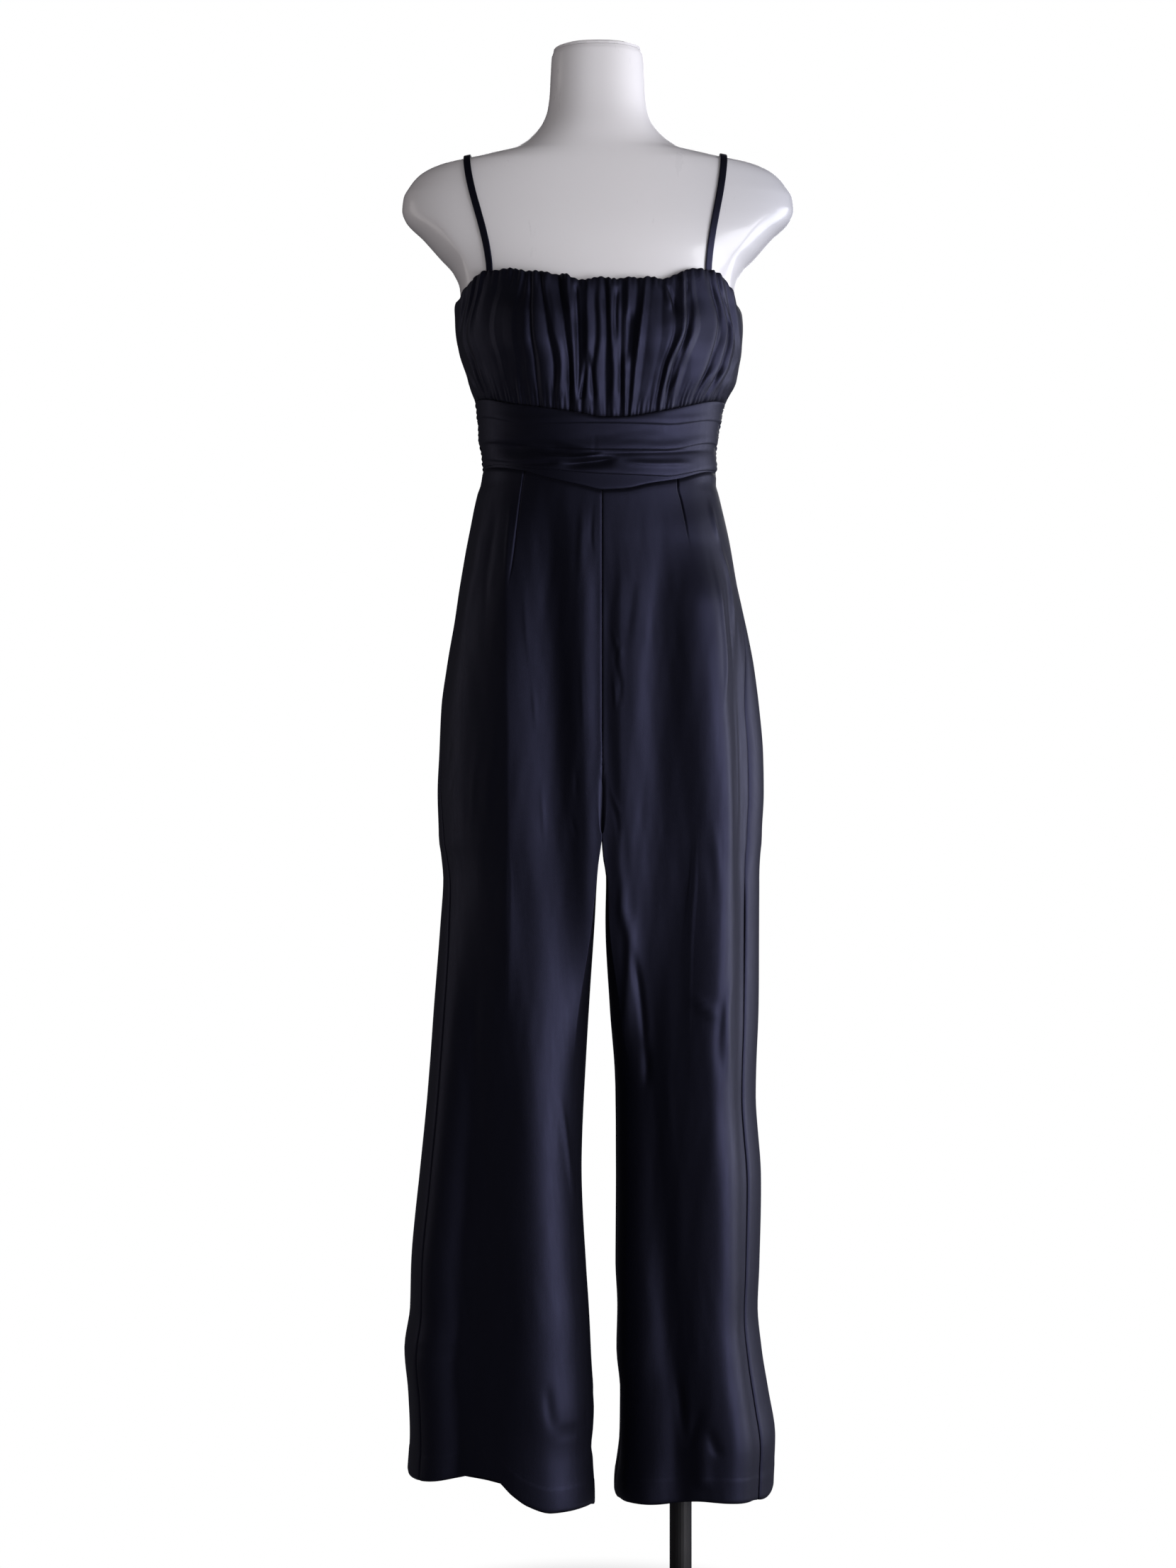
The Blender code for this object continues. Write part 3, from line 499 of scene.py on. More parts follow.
class Graph:
    def __init__(self, name):
        self.material = bpy.data.materials.new(name)
        self.material.use_nodes = True
        self.tree = self.material.node_tree
        self.shader = self.tree.nodes["Principled BSDF"]

    def node(self, kind, inputs=(), output=0, **settings):
        made = self.tree.nodes.new(kind)
        for name, value in settings.items():
            setattr(made, name, value)
        entries = inputs.items() if isinstance(inputs, dict) else enumerate(inputs)
        for name, value in entries:
            self.feed(made.inputs[name], value)
        return Value(self, made.outputs[output])

    def feed(self, socket, value):
        if isinstance(value, Value):
            self.tree.links.new(value.socket, socket)
        else:
            socket.default_value = value

    def set(self, **inputs):
        for name, value in inputs.items():
            self.feed(self.shader.inputs[name.replace("_", " ")], value)
        return self.material

    def colours(self, share, first, second):
        inputs = {"Factor": share, 6: (*first, 1), 7: (*second, 1)}
        return self.node("ShaderNodeMix", inputs, 2, data_type="RGBA")

    def noise(self, where, scale, detail=2.0, roughness=0.5):
        inputs = {"Vector": where, "Scale": scale, "Detail": detail, "Roughness": roughness}
        return self.node("ShaderNodeTexNoise", inputs)

    def stretched(self, where, scale):
        return self.node("ShaderNodeVectorMath", (where, scale), operation="MULTIPLY")


def crepeCloth():
    graph = Graph("black satin crepe")
    fabric = graph.node("ShaderNodeUVMap", uv_map="fabric")
    grain = graph.noise(graph.stretched(fabric, (1400, 900, 1)), 1.0, 3.0, 0.6)
    slub = graph.noise(graph.stretched(fabric, (260, 28, 1)), 1.0, 2.0)
    cloud = graph.noise(graph.stretched(fabric, (14, 6, 1)), 1.0, 3.0)
    bump = graph.node(
        "ShaderNodeBump",
        {"Strength": 0.30, "Distance": 0.0003, "Height": grain + slub * 0.5},
    )
    colour = graph.colours(cloud, (0.0019, 0.0018, 0.0021), (0.0029, 0.0028, 0.0036))
    return graph.set(
        Base_Color=colour,
        Roughness=0.46 + slub * 0.12,
        Specular_IOR_Level=0.44,
        Specular_Tint=(0.52, 0.53, 1.0, 1),
        Sheen_Weight=0.03,
        Sheen_Roughness=0.4,
        Sheen_Tint=(0.62, 0.62, 1.0, 1),
        Normal=bump,
    )


def whiteWithPaintedShade():
    graph = Graph("white lacquer")
    place = graph.node("ShaderNodeTexCoord", output="Object")
    scuffs = graph.noise(graph.stretched(place, (40, 40, 9)), 1.0, 6.0, 0.7)
    # Painted shade: the base colour darkens from 0.82 near the middle to 0.48 towards the form's right side
    # (+X), where the key light falls
    parts = graph.node("ShaderNodeSeparateXYZ", (place,))
    inputs = {"Value": parts, 1: 0.02, 2: 0.25}
    across = graph.node("ShaderNodeMapRange", inputs, interpolation_type="SMOOTHSTEP")
    colour = graph.colours(across, (0.82, 0.80, 0.82), (0.48, 0.48, 0.52))
    return graph.set(
        Base_Color=colour,
        Roughness=0.22 + scuffs * 0.16,
        Coat_Weight=0.3,
        Coat_Roughness=0.12,
    )


def darkMetal(name, colour, roughness):
    graph = Graph(name)
    place = graph.node("ShaderNodeTexCoord", output="Object")
    smudges = graph.noise(place, 30.0, 4.0, 0.6)
    return graph.set(
        Base_Color=(*colour, 1), Metallic=0.85, Roughness=roughness + smudges * 0.15
    )


def floorFinish():
    graph = Graph("pale floor")
    place = graph.node("ShaderNodeTexCoord", output="Object")
    away = graph.node("ShaderNodeVectorMath", (place,), 1, operation="LENGTH")
    inputs = {"Value": away, 1: 0.14, 2: 0.30}
    glow = graph.node("ShaderNodeMapRange", inputs, interpolation_type="SMOOTHSTEP")
    graph.shader.inputs["Emission Color"].default_value = (1, 1, 1, 1)
    bright = graph.node("ShaderNodeEmission", {"Color": (1, 1, 1, 1), "Strength": 1.0})
    matte = Value(graph, graph.shader.outputs[0])
    both = graph.node("ShaderNodeMixShader", (glow, matte, bright))
    graph.feed(graph.tree.nodes["Material Output"].inputs["Surface"], both)
    return graph.set(Base_Color=(0.82, 0.82, 0.83, 1), Roughness=0.7)


cloth = crepeCloth()
white = whiteWithPaintedShade()
poleMetal = darkMetal("dark pole metal", (0.055, 0.053, 0.055), 0.30)
baseMetal = darkMetal("dark base metal", (0.030, 0.030, 0.031), 0.42)
print("materials made")

# Bodice


bodice = {
    "cloth": 0.0014,
    "frontGrid": (430, 88),
    "backGrid": (220, 60),
    "seamPuckers": (0.0046, 0.032, 0.0014),  # spacing, longest and rise
    "topPuckers": (0.0072, 0.026, 0.0012),
    "backSeamPuckers": (0.0062, 0.034, 0.0012),
    "backTopPuckers": (0.0066, 0.030, 0.0012),
    "backGathers": 11,
    "backGatherRise": 0.0016,
    "overSeam": 0.0016,  # how far the cloth swells above the bust seam
    "topDip": 0.0010,
    "topRuffle": (0.0012, 0.008),  # rise, and how far down it is felt
    "topWave": (0.0010, 0.012),
}
# Crests of the gathers: where each shows at the seam, below the bust, at the bust and at the
# top, and how far it stands out
gatherCrests = (
    (-129, -143, -153, -144, 1.6),
    (-124, -137, -146, -136, 2.0),
    (-118, -130, -138, -127, 1.8),
    (-108, -119, -128, -118, 0.6),
    (-95, -105, -112, -101, 0.4),
    (-84, -89, -92, -84, 0.4),
    (-73, -78, -80, -79, 0.8),
    (-59, -63, -69, -70, 2.6),
    (-42, -40, -48, -58, 3.8),
    (-24, -26, -28, -34, 3.8),
    (-14, -13, -12, -12, 3.0),
    (1, -2, 3, 1, 1.6),
    (15, 16, 14, 12, 2.4),
    (29, 29, 31, 33, 3.0),
    (36, 40, 45, 51, 4.2),
    (49, 57, 62, 64, 1.3),
    (57, 65, 74, 74, 1.0),
    (66, 75, 90, 92, 4.2),
    (80, 89, 103, 101, 2.6),
    (95, 114, 124, 112, 3.6),
    (107, 129, 138, 125, 3.4),
    (120, 140, 145, 133, 2.8),
    (133, 146, 154, 146, 1.8),
)
bodiceCreases = (
    (-2.6, 2.0, 2.6, 0.1, 0.2, ((-24, 1466), (-22, 1420), (-21, 1370), (-23, 1330))),
    (-3.0, 3.0, 2.2, 0.4, 0.1, ((-12, 1393), (-14, 1366), (-19, 1336))),
    (-2.2, 2.4, 3.0, 0.4, 0.2, ((-11, 1393), (-7, 1366), (-4, 1335))),
    (-3.0, 2.6, 2.6, 0.2, 0.4, ((21, 1464), (19, 1430), (20, 1390))),
    (-3.2, 5.0, 4.0, 0.3, 0.3, ((36, 1440), (33, 1410), (30, 1372))),
    (1.8, 2.4, 3.2, 0.3, 0.4, ((70, 1464), (76, 1448), (81, 1432))),
    (-2.2, 2.2, 2.2, 0.3, 0.4, ((74, 1464), (82, 1444), (86, 1426))),
    (-2.4, 2.4, 3.0, 0.2, 0.2, ((98, 1470), (100, 1430), (86, 1372), (72, 1340))),
    (-2.0, 1.8, 2.4, 0.2, 0.2, ((119, 1470), (131, 1428), (122, 1380), (102, 1340))),
    (-2.0, 1.6, 2.0, 0.2, 0.2, ((129, 1472), (142, 1426), (135, 1378), (115, 1336))),
    (3.0, 20, 22, 0.3, 0.3, ((-84, 1456), (-88, 1420), (-88, 1380))),
    (2.2, 22, 20, 0.3, 0.3, ((84, 1440), (92, 1410), (84, 1370))),
    (-2.4, 9, 8, 0.3, 0.3, ((-22, 1450), (-22, 1400), (-20, 1350))),
    (-2.0, 8, 8, 0.3, 0.4, ((34, 1450), (31, 1410), (28, 1370))),
    (-1.4, 3.0, 4.0, 0.3, 0.5, ((-58, 1470), (-52, 1440), (-48, 1405))),
)


def seamHeight(turn):
    front = read(bustSeamLine, "height", torso(seamLevel, turn)[..., 0])
    return mix(front, backBustSeam, ease(0, 0.5, -np.sin(turn)))


def frontTop(turn):
    return read(bodiceTop, "height", torso(topLevel, turn)[..., 0])


def backTop(turn):
    side = read(bodiceTop, "height", np.sign(np.cos(turn)) * 0.160)
    return mix(side, backTopHeight, ease(0, 0.6, -np.sin(turn)))


def gatherFlow(across, share):
    # Which crests a point lies between, and where along the seam its thread runs
    crests = np.array(gatherCrests) * mm
    knots = (0, 0.42, 0.68, 1.0)
    lines = [curve(knots, crest[[3, 2, 1, 0]], share) for crest in crests]
    lines = np.stack(lines, -1)
    place = (lines <= across[..., None]).sum(-1) - 1
    i = np.clip(place, 0, len(crests) - 2)
    low = np.take_along_axis(lines, i[..., None], -1)[..., 0]
    high = np.take_along_axis(lines, i[..., None] + 1, -1)[..., 0]
    f = (across - low) / np.maximum(high - low, 1e-6)
    seam, top, rise = crests[:, 0], crests[:, 3], crests[:, 4]
    inside = np.clip(f, 0, 1)
    atSeam = mix(seam[i], seam[i + 1], f)
    atTop = mix(top[i], top[i + 1], f)
    stand = mix(rise[i], rise[i + 1], inside)
    return atSeam, atTop, stand, inside, i


def puckers(place, distance, spacing, longest, rise, seed):
    # Short sharp ridges that run out from a gathered seam
    wander = place + 0.0008 * np.sin(place / spacing * 1.7 + seed)
    cell = np.floor(wander / spacing)
    f = wander / spacing - cell
    length = longest * (0.25 + 0.75 * uneven(cell, seed) ** 1.5)
    height = rise * (0.5 + 0.8 * uneven(cell, seed + 1))
    profile = 1 - np.abs(2 * f - 1) ** 1.5
    return height * (profile - 0.5) * np.clip(1 - distance / length, 0, 1) ** 0.8


def settledSides(relief, sides):
    # Gathers fade out into the side seams
    relief = relief * ease(0, 0.024, sides) - 0.0008 * (1 - ease(0, 0.050, sides))
    return relief + edgeRoll(sides, 0.0006, 0.0010)


def bodiceFront():
    columns, rows = bodice["frontGrid"]
    turn = spread(sideGap, math.pi - sideGap, columns, 2.0)[None, :]
    share = mix(np.linspace(0, 1, rows), spread(0, 1, rows), 0.6)[:, None]
    top, seam = frontTop(turn), seamHeight(turn) + seamGap
    z, base, direction = torsoGrid(top, seam, turn, share)
    across, height = seen(base)
    down = np.broadcast_to(share, z.shape)
    atSeam, atTop, stand, inside, fold = gatherFlow(across, down)
    level = mix(0.75, 1.0, ease(0, 0.2, share)) * mix(1, 0.5, ease(0.75, 1, share))
    inside = inside ** mix(0.6, 1.7, uneven(fold, 5))
    valley = (1 - np.abs(2 * inside - 1)) ** mix(0.65, 1.6, uneven(fold, 8))
    slack = bell(down - mix(0.25, 0.8, uneven(fold, 12)), 0.26)
    depth = mix(0.5, 1.35, uneven(fold, 3)) * (1 - 0.8 * uneven(fold, 13) * slack)
    relief = stand * level * (0.9 - 1.7 * depth * valley)
    relief += creaseRelief(across, height, bodiceCreases)
    below, above = z - seam, top - z
    relief += puckers(atSeam, below, *bodice["seamPuckers"], 4)
    relief += puckers(atTop, above, *bodice["topPuckers"], 9)
    relief += streaks(atSeam, height, 2, 0.016, 0.11, 0.0004) * ease(0, 0.03, below)
    relief += bodice["overSeam"] * bell(share - 0.86, 0.1) - bodice["topDip"] * bell(share, 0.05)
    sides = fromSideSeams(turn)
    relief = settledSides(relief, sides)
    relief += edgeRoll(below, 0.0016, 0.0022)
    relief += edgeRoll(above, 0.0012, 0.0016)
    (ruffle, ruffleReach), (wave, waveReach) = bodice["topRuffle"], bodice["topWave"]
    spacing = bodice["topPuckers"][0]
    lift = ruffle * puckers(atTop, 0, spacing, 1, 1, 9) * np.exp(-above / ruffleReach)
    lift += wave * np.sin(atTop * 190 + 1) * np.exp(-above / waveReach)
    lift = lift * ease(0, 0.014, sides)
    outer = base + direction * relief[..., None]
    outer[..., 2] += lift
    seams = ("start", "end", "bottom")
    made = shell("bodiceFront", "bodice_front", outer, direction, bodice["cloth"], seams)


def bodiceBack():
    columns, rows = bodice["backGrid"]
    turn = np.linspace(math.pi + sideGap, 2 * math.pi - sideGap, columns)[None, :]
    share = np.linspace(0, 1, rows)[:, None]
    top, seam = backTop(turn), seamHeight(turn) + seamGap
    z, base, direction = torsoGrid(top, seam, turn, share)
    across = base[..., 0]
    place = (turn - math.pi) / math.pi * bodice["backGathers"] + 0.25 * np.sin(share * 3 + turn * 4)
    gather = np.floor(place)
    inside = place - gather
    stand = bodice["backGatherRise"] * (0.6 + 0.8 * uneven(gather, 3))
    relief = stand * (0.9 - 1.6 * (1 - np.abs(2 * inside - 1)) ** 1.7) * np.ones(z.shape)
    below, above = z - seam, top - z
    relief += puckers(across, below, *bodice["backSeamPuckers"], 14)
    relief += puckers(across, above, *bodice["backTopPuckers"], 19)
    relief += edgeRoll(below, 0.0014, 0.002) + edgeRoll(above, 0.0012, 0.0016)
    relief = settledSides(relief, fromSideSeams(turn, math.pi))
    outer = base + direction * relief[..., None]
    seams = ("start", "end", "bottom")
    made = shell("bodiceBack", "bodice_back", outer, direction, bodice["cloth"], seams)


bodiceFront()
bodiceBack()
print("bodice made")

# Waistband


waistband = {
    "cloth": 0.0013,
    "lowerCloth": 0.0012,
    "drapeGrid": (330, 84),
    "lowerGrid": (200, 14),
    "backGrid": (180, 60),
    "lowerSetBack": 0.0010,
    "lowerTuck": 0.005,  # how far the lower strip goes up under the drape
    "ruching": (0.0062, 0.0020),  # spacing and rise at the front's sides
    "backRuching": (0.0058, 0.0018),
    "ruchingReach": 0.012,
    "backFolds": (0.2, 1.0, 1.6, 0.5, 1.2, 1.8, 0.6, 1.2, 0.2),
}
# Lips of the drape: their heights across the front, and how far the cloth drops at each
lipColumns = (-0.130, -0.070, 0.005, 0.070, 0.130)
drapeLips = (
    ((1314, 1300, 1300, 1300, 1310), 1.0),
    ((1286, 1277, 1272, 1273, 1286), 1.3),
)
drapeBottom = (1262, 1254, 1246.5, 1245, 1257)
drapeCreases = (
    (-4.8, 6, 10, 0.3, 0.4, ((-122, 1284), (-92, 1286), (-60, 1288), (-30, 1283), (-6, 1279))),
    (2.8, 2.2, 4, 0.4, 0.3, ((-70, 1279), (-57, 1277), (-27, 1275), (-4, 1277), (10, 1280))),
    (-4.2, 2.6, 5.5, 0.4, 0.3, ((-44, 1266), (-4, 1271), (24, 1274))),
    (-1.8, 2, 3, 0.2, 0.2, ((-128, 1271), (-90, 1268), (-60, 1269), (-40, 1271))),
    (1.4, 4, 3, 0.3, 0.3, ((20, 1270), (60, 1268), (110, 1268))),
    (-1.0, 2, 2.6, 0.3, 0.3, ((-4, 1280), (32, 1280), (77, 1281), (129, 1284))),
    (0.8, 6, 6, 0.4, 0.4, ((-110, 1308), (-50, 1306), (20, 1304))),
    (-0.25, 1.4, 1.4, 0.3, 0.3, ((-3.5, 1306), (-3.5, 1268))),
)


def waistSeamFront(x):
    return read(frontWaistSeam, "height", x)


def waistSeamBack(x):
    side = read(frontWaistSeam, "height", np.sign(x) * 0.130)
    return mix(backWaistSeam, side, ease(0.098, 0.128, np.abs(x)))


def ruched(wave, rise, sides):
    return rise * (wave - 1.2) * np.exp(-sides / waistband["ruchingReach"])


def waistbandDrape():
    columns, rows = waistband["drapeGrid"]
    turn = spread(sideGap, math.pi - sideGap, columns, 2.0)[None, :]
    share = np.linspace(0, 1, rows)[:, None]
    x = torso(1.290, turn)[..., 0]
    top = seamHeight(turn) - seamGap / 2
    bottom = curve(lipColumns, np.array(drapeBottom) * mm, x)
    z, base, direction = torsoGrid(top, bottom, turn, share)
    across, height = seen(base)
    relief = 0.0010 + 0.0014 * share
    for heights, drop in drapeLips:
        lip = curve(lipColumns, np.array(heights) * mm, x)
        under = ease(-0.0006, 0.0006, lip - z)
        relief = relief - drop * mm * under + 0.5 * drop * mm * ease(0, 0.02, lip - z)
        relief = relief + 0.0008 * bell(z - lip - 0.004, 0.005)
    relief = relief * mix(0.6, 1.0, np.sin(turn) ** 0.5)
    relief = relief + creaseRelief(across, height, drapeCreases)
    spacing, rise = waistband["ruching"]
    tuck = np.floor(z / spacing + 0.3 * np.sin(z * 900))
    wave = np.abs(np.sin(z / spacing * math.pi + uneven(tuck, 7)))
    relief = relief + ruched(wave, rise, fromSideSeams(turn))
    relief = relief + edgeRoll(z - bottom, 0.0012, 0.0014) + edgeRoll(top - z, 0.0010, 0.002)
    relief = relief + streaks(height, across, 5, 0.016, 0.12, 0.00018)
    outer = base + direction * relief[..., None]
    seams, node = ("start", "end", "top"), "waistband_front_drape"
    made = shell("waistbandDrape", node, outer, direction, waistband["cloth"], seams)


def waistbandLower():
    columns, rows = waistband["lowerGrid"]
    turn = np.linspace(sideGap, math.pi - sideGap, columns)[None, :]
    share = np.linspace(0, 1, rows)[:, None]
    x = torso(1.240, turn)[..., 0]
    top = curve(lipColumns, np.array(drapeBottom) * mm, x) + waistband["lowerTuck"]
    bottom = waistSeamFront(torso(waistSeamFront(x), turn)[..., 0]) + seamGap / 2
    z, base, direction = torsoGrid(top, bottom, turn, share)
    relief = -waistband["lowerSetBack"] + edgeRoll(z - bottom, 0.0006, 0.001)
    outer = base + direction * relief[..., None]
    seams, node = ("start", "end", "bottom"), "waistband_front_lower"
    made = shell("waistbandLower", node, outer, direction, waistband["lowerCloth"], seams)


def waistbandBack():
    columns, rows = waistband["backGrid"]
    turn = np.linspace(math.pi + sideGap, 2 * math.pi - sideGap, columns)[None, :]
    share = np.linspace(0, 1, rows)[:, None]
    low = waistSeamBack(torso(backWaistSeam, turn)[..., 0]) + seamGap / 2
    top = seamHeight(turn) - seamGap / 2
    z, base, direction = torsoGrid(top, low, turn, share)
    folds = waistband["backFolds"]
    relief = np.interp(share, np.linspace(0, 1, len(folds)), folds) * mm
    relief = relief + 0.0005 * np.sin(turn * 7 + share * 5)
    spacing, rise = waistband["backRuching"]
    wave = np.abs(np.sin(z / spacing * math.pi))
    relief = relief + ruched(wave, rise, fromSideSeams(turn, math.pi))
    outer = base + direction * relief[..., None]
    seams = ("top", "bottom", "start", "end")
    made = shell("waistbandBack", "waistband_back", outer, direction, waistband["cloth"], seams)


waistbandDrape()
waistbandLower()
waistbandBack()
print("waistband made")

# Trousers


trousers = {
    "cloth": 0.0013,
    "hem": 0.027,
    "frontGrid": (190, 240),
    "backGrid": (104, 172),
    "stretches": ((1.262, 0.988, 0.28), (0.864, 0.216, 0.42), (0.214, 0.160, 0.12)),
    "archShare": 0.18,  # of the rows, like the last number of each stretch
    "outerShare": 0.42,  # of the front's columns
    "waistShaping": 1.120,  # the waist seam's curve fades out down to here
    "hemShaping": 0.370,
    "ripples": (0.034, 0.42, 0.00024),  # width, length and rise
    "fineRipples": (0.016, 0.16, 0.00007),
}
foldStart = 1.250
foldHeights = (1180, 1110, 1000, 887, 776, 627, 478, 329, 200)
frontFolds = (
    ((-94, -95, -94, -93, -95, -93, -91, -89, -88), (5, 7, 8, 8, 6, 1, 0, 0, 0), 26, 60, 2),
    ((-89, -89, -88, -85, -79, -70, -56, -47, -43), (0, 0, 0, 2, 4, 10, 17, 23, 27), 42, 44, 0),
    ((-52, -49, -46, -41, -34, -27, -27, -25, -24), (-5, -7, -8, -7, -4, 0, 0, 0, 0), 25, 26, 0),
    ((-30, -28, -24, -20, -14, -10, -9, -9, -9), (1.4, 2.4, 2.2, 2, 1, 0, 0, 0, 0), 20, 18, 0),
    (
        (-151, -148, -144, -140, -137, -134, -142, -151, -154),
        (0, 0, 0, 0, -3, -10, -15, -17, -18),
        56, 50, 0,
    ),
    (
        (104, 107, 115, 122, 128, 132, 138, 145, 151),
        (5, 15, 17, 18, 18, 15, 16, 17, 15),
        26, 31, 0,
    ),
    ((104, 107, 115, 122, 128, 132, 138, 145, 151), (2, 7, 10, 10, 9, 4, 0, 0, 0), 34, 84, 0),
    ((72, 66, 62, 58, 54, 53, 59, 71, 79), (-1, -4, -4, -3, -3, -7, -9, -10, -9), 22, 20, 0),
    ((45, 42, 38, 31, 24, 22, 22, 22, 22), (0, 0.8, 0.8, 0.6, 0, 0, 0, 0, 0), 14, 16, 0),
    ((34, 34, 34, 34, 34, 34, 36, 38, 40), (0, 0, 0, 0, 0, 1, 5, 9, 10), 30, 13, 0),
)
backFolds = (
    (
        (-72, -78, -84, -90, -93, -95, -98, -102, -104),
        (0, -5, -8, -10, -11, -12, -13, -14, -14),
        22, 18, 0,
    ),
    ((-40, -44, -50, -55, -57, -59, -59, -57, -56), (0, 2, 4, 5, 6, 6, 6, 6, 6), 20, 18, 0),
    (
        (-106, -112, -122, -129, -134, -139, -147, -155, -160),
        (0, 2, 4, 5, 6, 6, 6, 6, 6),
        18, 20, 0,
    ),
    ((74, 80, 86, 90, 91, 90, 92, 96, 98), (0, -5, -8, -10, -11, -12, -13, -14, -14), 18, 22, 0),
    ((40, 44, 50, 54, 56, 57, 56, 54, 52), (0, 2, 4, 5, 6, 6, 6, 6, 6), 18, 20, 0),
    ((110, 116, 126, 133, 136, 139, 143, 148, 152), (0, 2, 4, 5, 6, 6, 6, 6, 6), 20, 18, 0),
)
frontCreases = (
    (2.8, 8, 5, 0.3, 0.3, ((30, 840), (27, 804), (26, 783), (34, 749), (33, 703), (29, 643), (20, 612))),
    (-2.2, 4, 4, 0.3, 0.4, ((36, 748), (46, 684), (50, 608))),
    (-3.0, 6, 5, 0.4, 0.4, ((50, 640), (50, 586))),
    (2.4, 5, 4, 0.4, 0.4, ((139, 726), (132, 680), (134, 624), (136, 590))),
    (-1.6, 3, 5, 0.4, 0.4, ((127, 700), (125, 640), (128, 600))),
    (2.0, 4, 4, 0.4, 0.4, ((96, 690), (110, 680), (128, 665))),
    (1.5, 3, 3, 0.4, 0.4, ((-46, 590), (-42, 549), (-38, 491), (-34, 440))),
    (-1.6, 4, 4, 0.4, 0.4, ((-64, 275), (-62, 237), (-58, 216))),
    (-1.8, 4, 5, 0.3, 0.4, ((-23, 270), (-28, 237), (-35, 222))),
    (-1.4, 5, 4, 0.4, 0.4, ((-35, 224), (-29, 206), (-22, 190))),
    (-2.0, 6, 6, 0.4, 0.4, ((84, 290), (92, 222), (98, 188))),
    (-2.0, 5, 6, 0.4, 0.4, ((113, 245), (104, 218), (97, 190))),
    (-1.8, 5, 5, 0.4, 0.4, ((117, 222), (124, 204), (132, 186))),
    (2.4, 9, 9, 0.4, 0.2, ((110, 214), (112, 190), (113, 150))),
    (0.7, 2.2, 1.8, 0.3, 0.3, ((14, 1094), (21, 1067), (32, 1059))),
    (0.9, 2.2, 1.8, 0.4, 0.4, ((14, 1040), (17, 1028), (19, 998))),
    (-0.7, 2.5, 3.0, 0.3, 0.3, ((26, 1080), (18, 1056), (24, 1030), (23, 1000))),
    (0.8, 2.4, 2.4, 0.4, 0.4, ((9, 930), (16, 905), (26, 884))),
    (-0.7, 3, 3, 0.4, 0.5, ((12, 906), (20, 880), (22, 850))),
    (-0.9, 5, 7, 0.4, 0.5, ((40, 1158), (35, 1110), (30, 1062))),
    (2.0, 2.8, 2.4, 0.4, 0.4, ((120, 1233), (124, 1202), (130, 1179))),
    (2.4, 3.2, 2.8, 0.3, 0.4, ((128, 1188), (140, 1132), (147, 1063))),
    (2.0, 3, 3, 0.4, 0.4, ((117, 1180), (123, 1117), (128, 1048), (123, 986))),
    (2.0, 2.8, 2.8, 0.4, 0.4, ((147, 1125), (156, 1063), (159, 1032))),
    (-1.6, 2.6, 3, 0.4, 0.4, ((134, 1160), (136, 1100), (141, 1030))),
    (1.9, 2.8, 2.6, 0.3, 0.3, ((146, 1040), (148, 960), (147, 848))),
    (1.7, 2.6, 2.6, 0.3, 0.3, ((154, 990), (156, 920), (155, 840))),
    (-1.5, 3.4, 3.4, 0.4, 0.4, ((137, 960), (139, 900), (138, 830))),
    (0.9, 4, 4, 0.5, 0.5, ((112, 900), (118, 840), (120, 770))),
    (1.2, 6, 6, 0.4, 0.4, ((-118, 1248), (-124, 1194), (-135, 1132), (-149, 1063))),
    (-0.9, 4, 4, 0.4, 0.4, ((-110, 1240), (-112, 1190), (-118, 1140), (-120, 1080))),
    (-1.3, 2.2, 3, 0.4, 0.4, ((-157, 1040), (-166, 1013))),
    (-1.3, 2.2, 3, 0.4, 0.4, ((-157, 971), (-164, 936))),
    (-1.3, 2.2, 3, 0.4, 0.4, ((-154, 932), (-163, 901))),
    (0.4, 4, 4, 0.4, 0.5, ((-128, 980), (-134, 900), (-136, 820))),
    (0.35, 2.4, 2, 0.5, 0.5, ((-72, 1040), (-67, 971))),
    (0.35, 2.4, 2, 0.5, 0.5, ((-62, 930), (-58, 846))),
    (0.3, 2.8, 2.4, 0.5, 0.5, ((-80, 1150), (-78, 1090), (-74, 1040))),
    (-0.4, 2.4, 2.4, 0.5, 0.5, ((-24, 942), (-24, 900))),
    (-0.4, 2.4, 2.4, 0.5, 0.5, ((-30, 888), (-22, 855))),
    (0.3, 2.4, 2.4, 0.5, 0.5, ((-20, 1080), (-17, 1010), (-16, 950))),
    (-1.4, 2, 3, 0.2, 0.4, ((-3.4, 1236), (-6.5, 1190), (-2.0, 1160))),
    (0.9, 5, 4, 0.4, 0.5, ((-16, 1245), (-18, 1190), (-22, 1110))),
    (0.6, 3, 2, 0.3, 0.4, ((-93, 1240), (-95, 1202), (-97, 1163), (-97, 1120))),
)
levelCreases = (
    (-1.0, 2.0, 3.0, 0.2, 0.4, ((-212, 303), (-167, 301), (-136, 288))),
    (-1.2, 2.5, 5.0, 0.4, 0.4, ((-62, 222), (-48, 221), (-35, 222))),
)
backCreases = (
    (1.8, 6, 6, 0.4, 0.4, ((-30, 1010), (-60, 985), (-100, 975))),
    (1.8, 6, 6, 0.4, 0.4, ((24, 1000), (60, 982), (110, 968))),
    (-1.6, 7, 7, 0.4, 0.4, ((-20, 940), (-50, 920), (-84, 915))),
    (-1.6, 7, 7, 0.4, 0.4, ((18, 935), (48, 915), (90, 905))),
)
dartLines = {
    -1: ((-80, 1262), (-84, 1233), (-87, 1202), (-91, 1163), (-95, 1133)),
    1: ((88, 1262), (87, 1242), (90, 1229), (93, 1209), (95, 1190), (98, 1172)),
}
dartCreases = (
    (-2.4, 0.7, 0.9, 0.02, 0.5, dartLines[-1]),
    (-2.4, 0.9, 0.7, 0.02, 0.6, dartLines[1]),
)
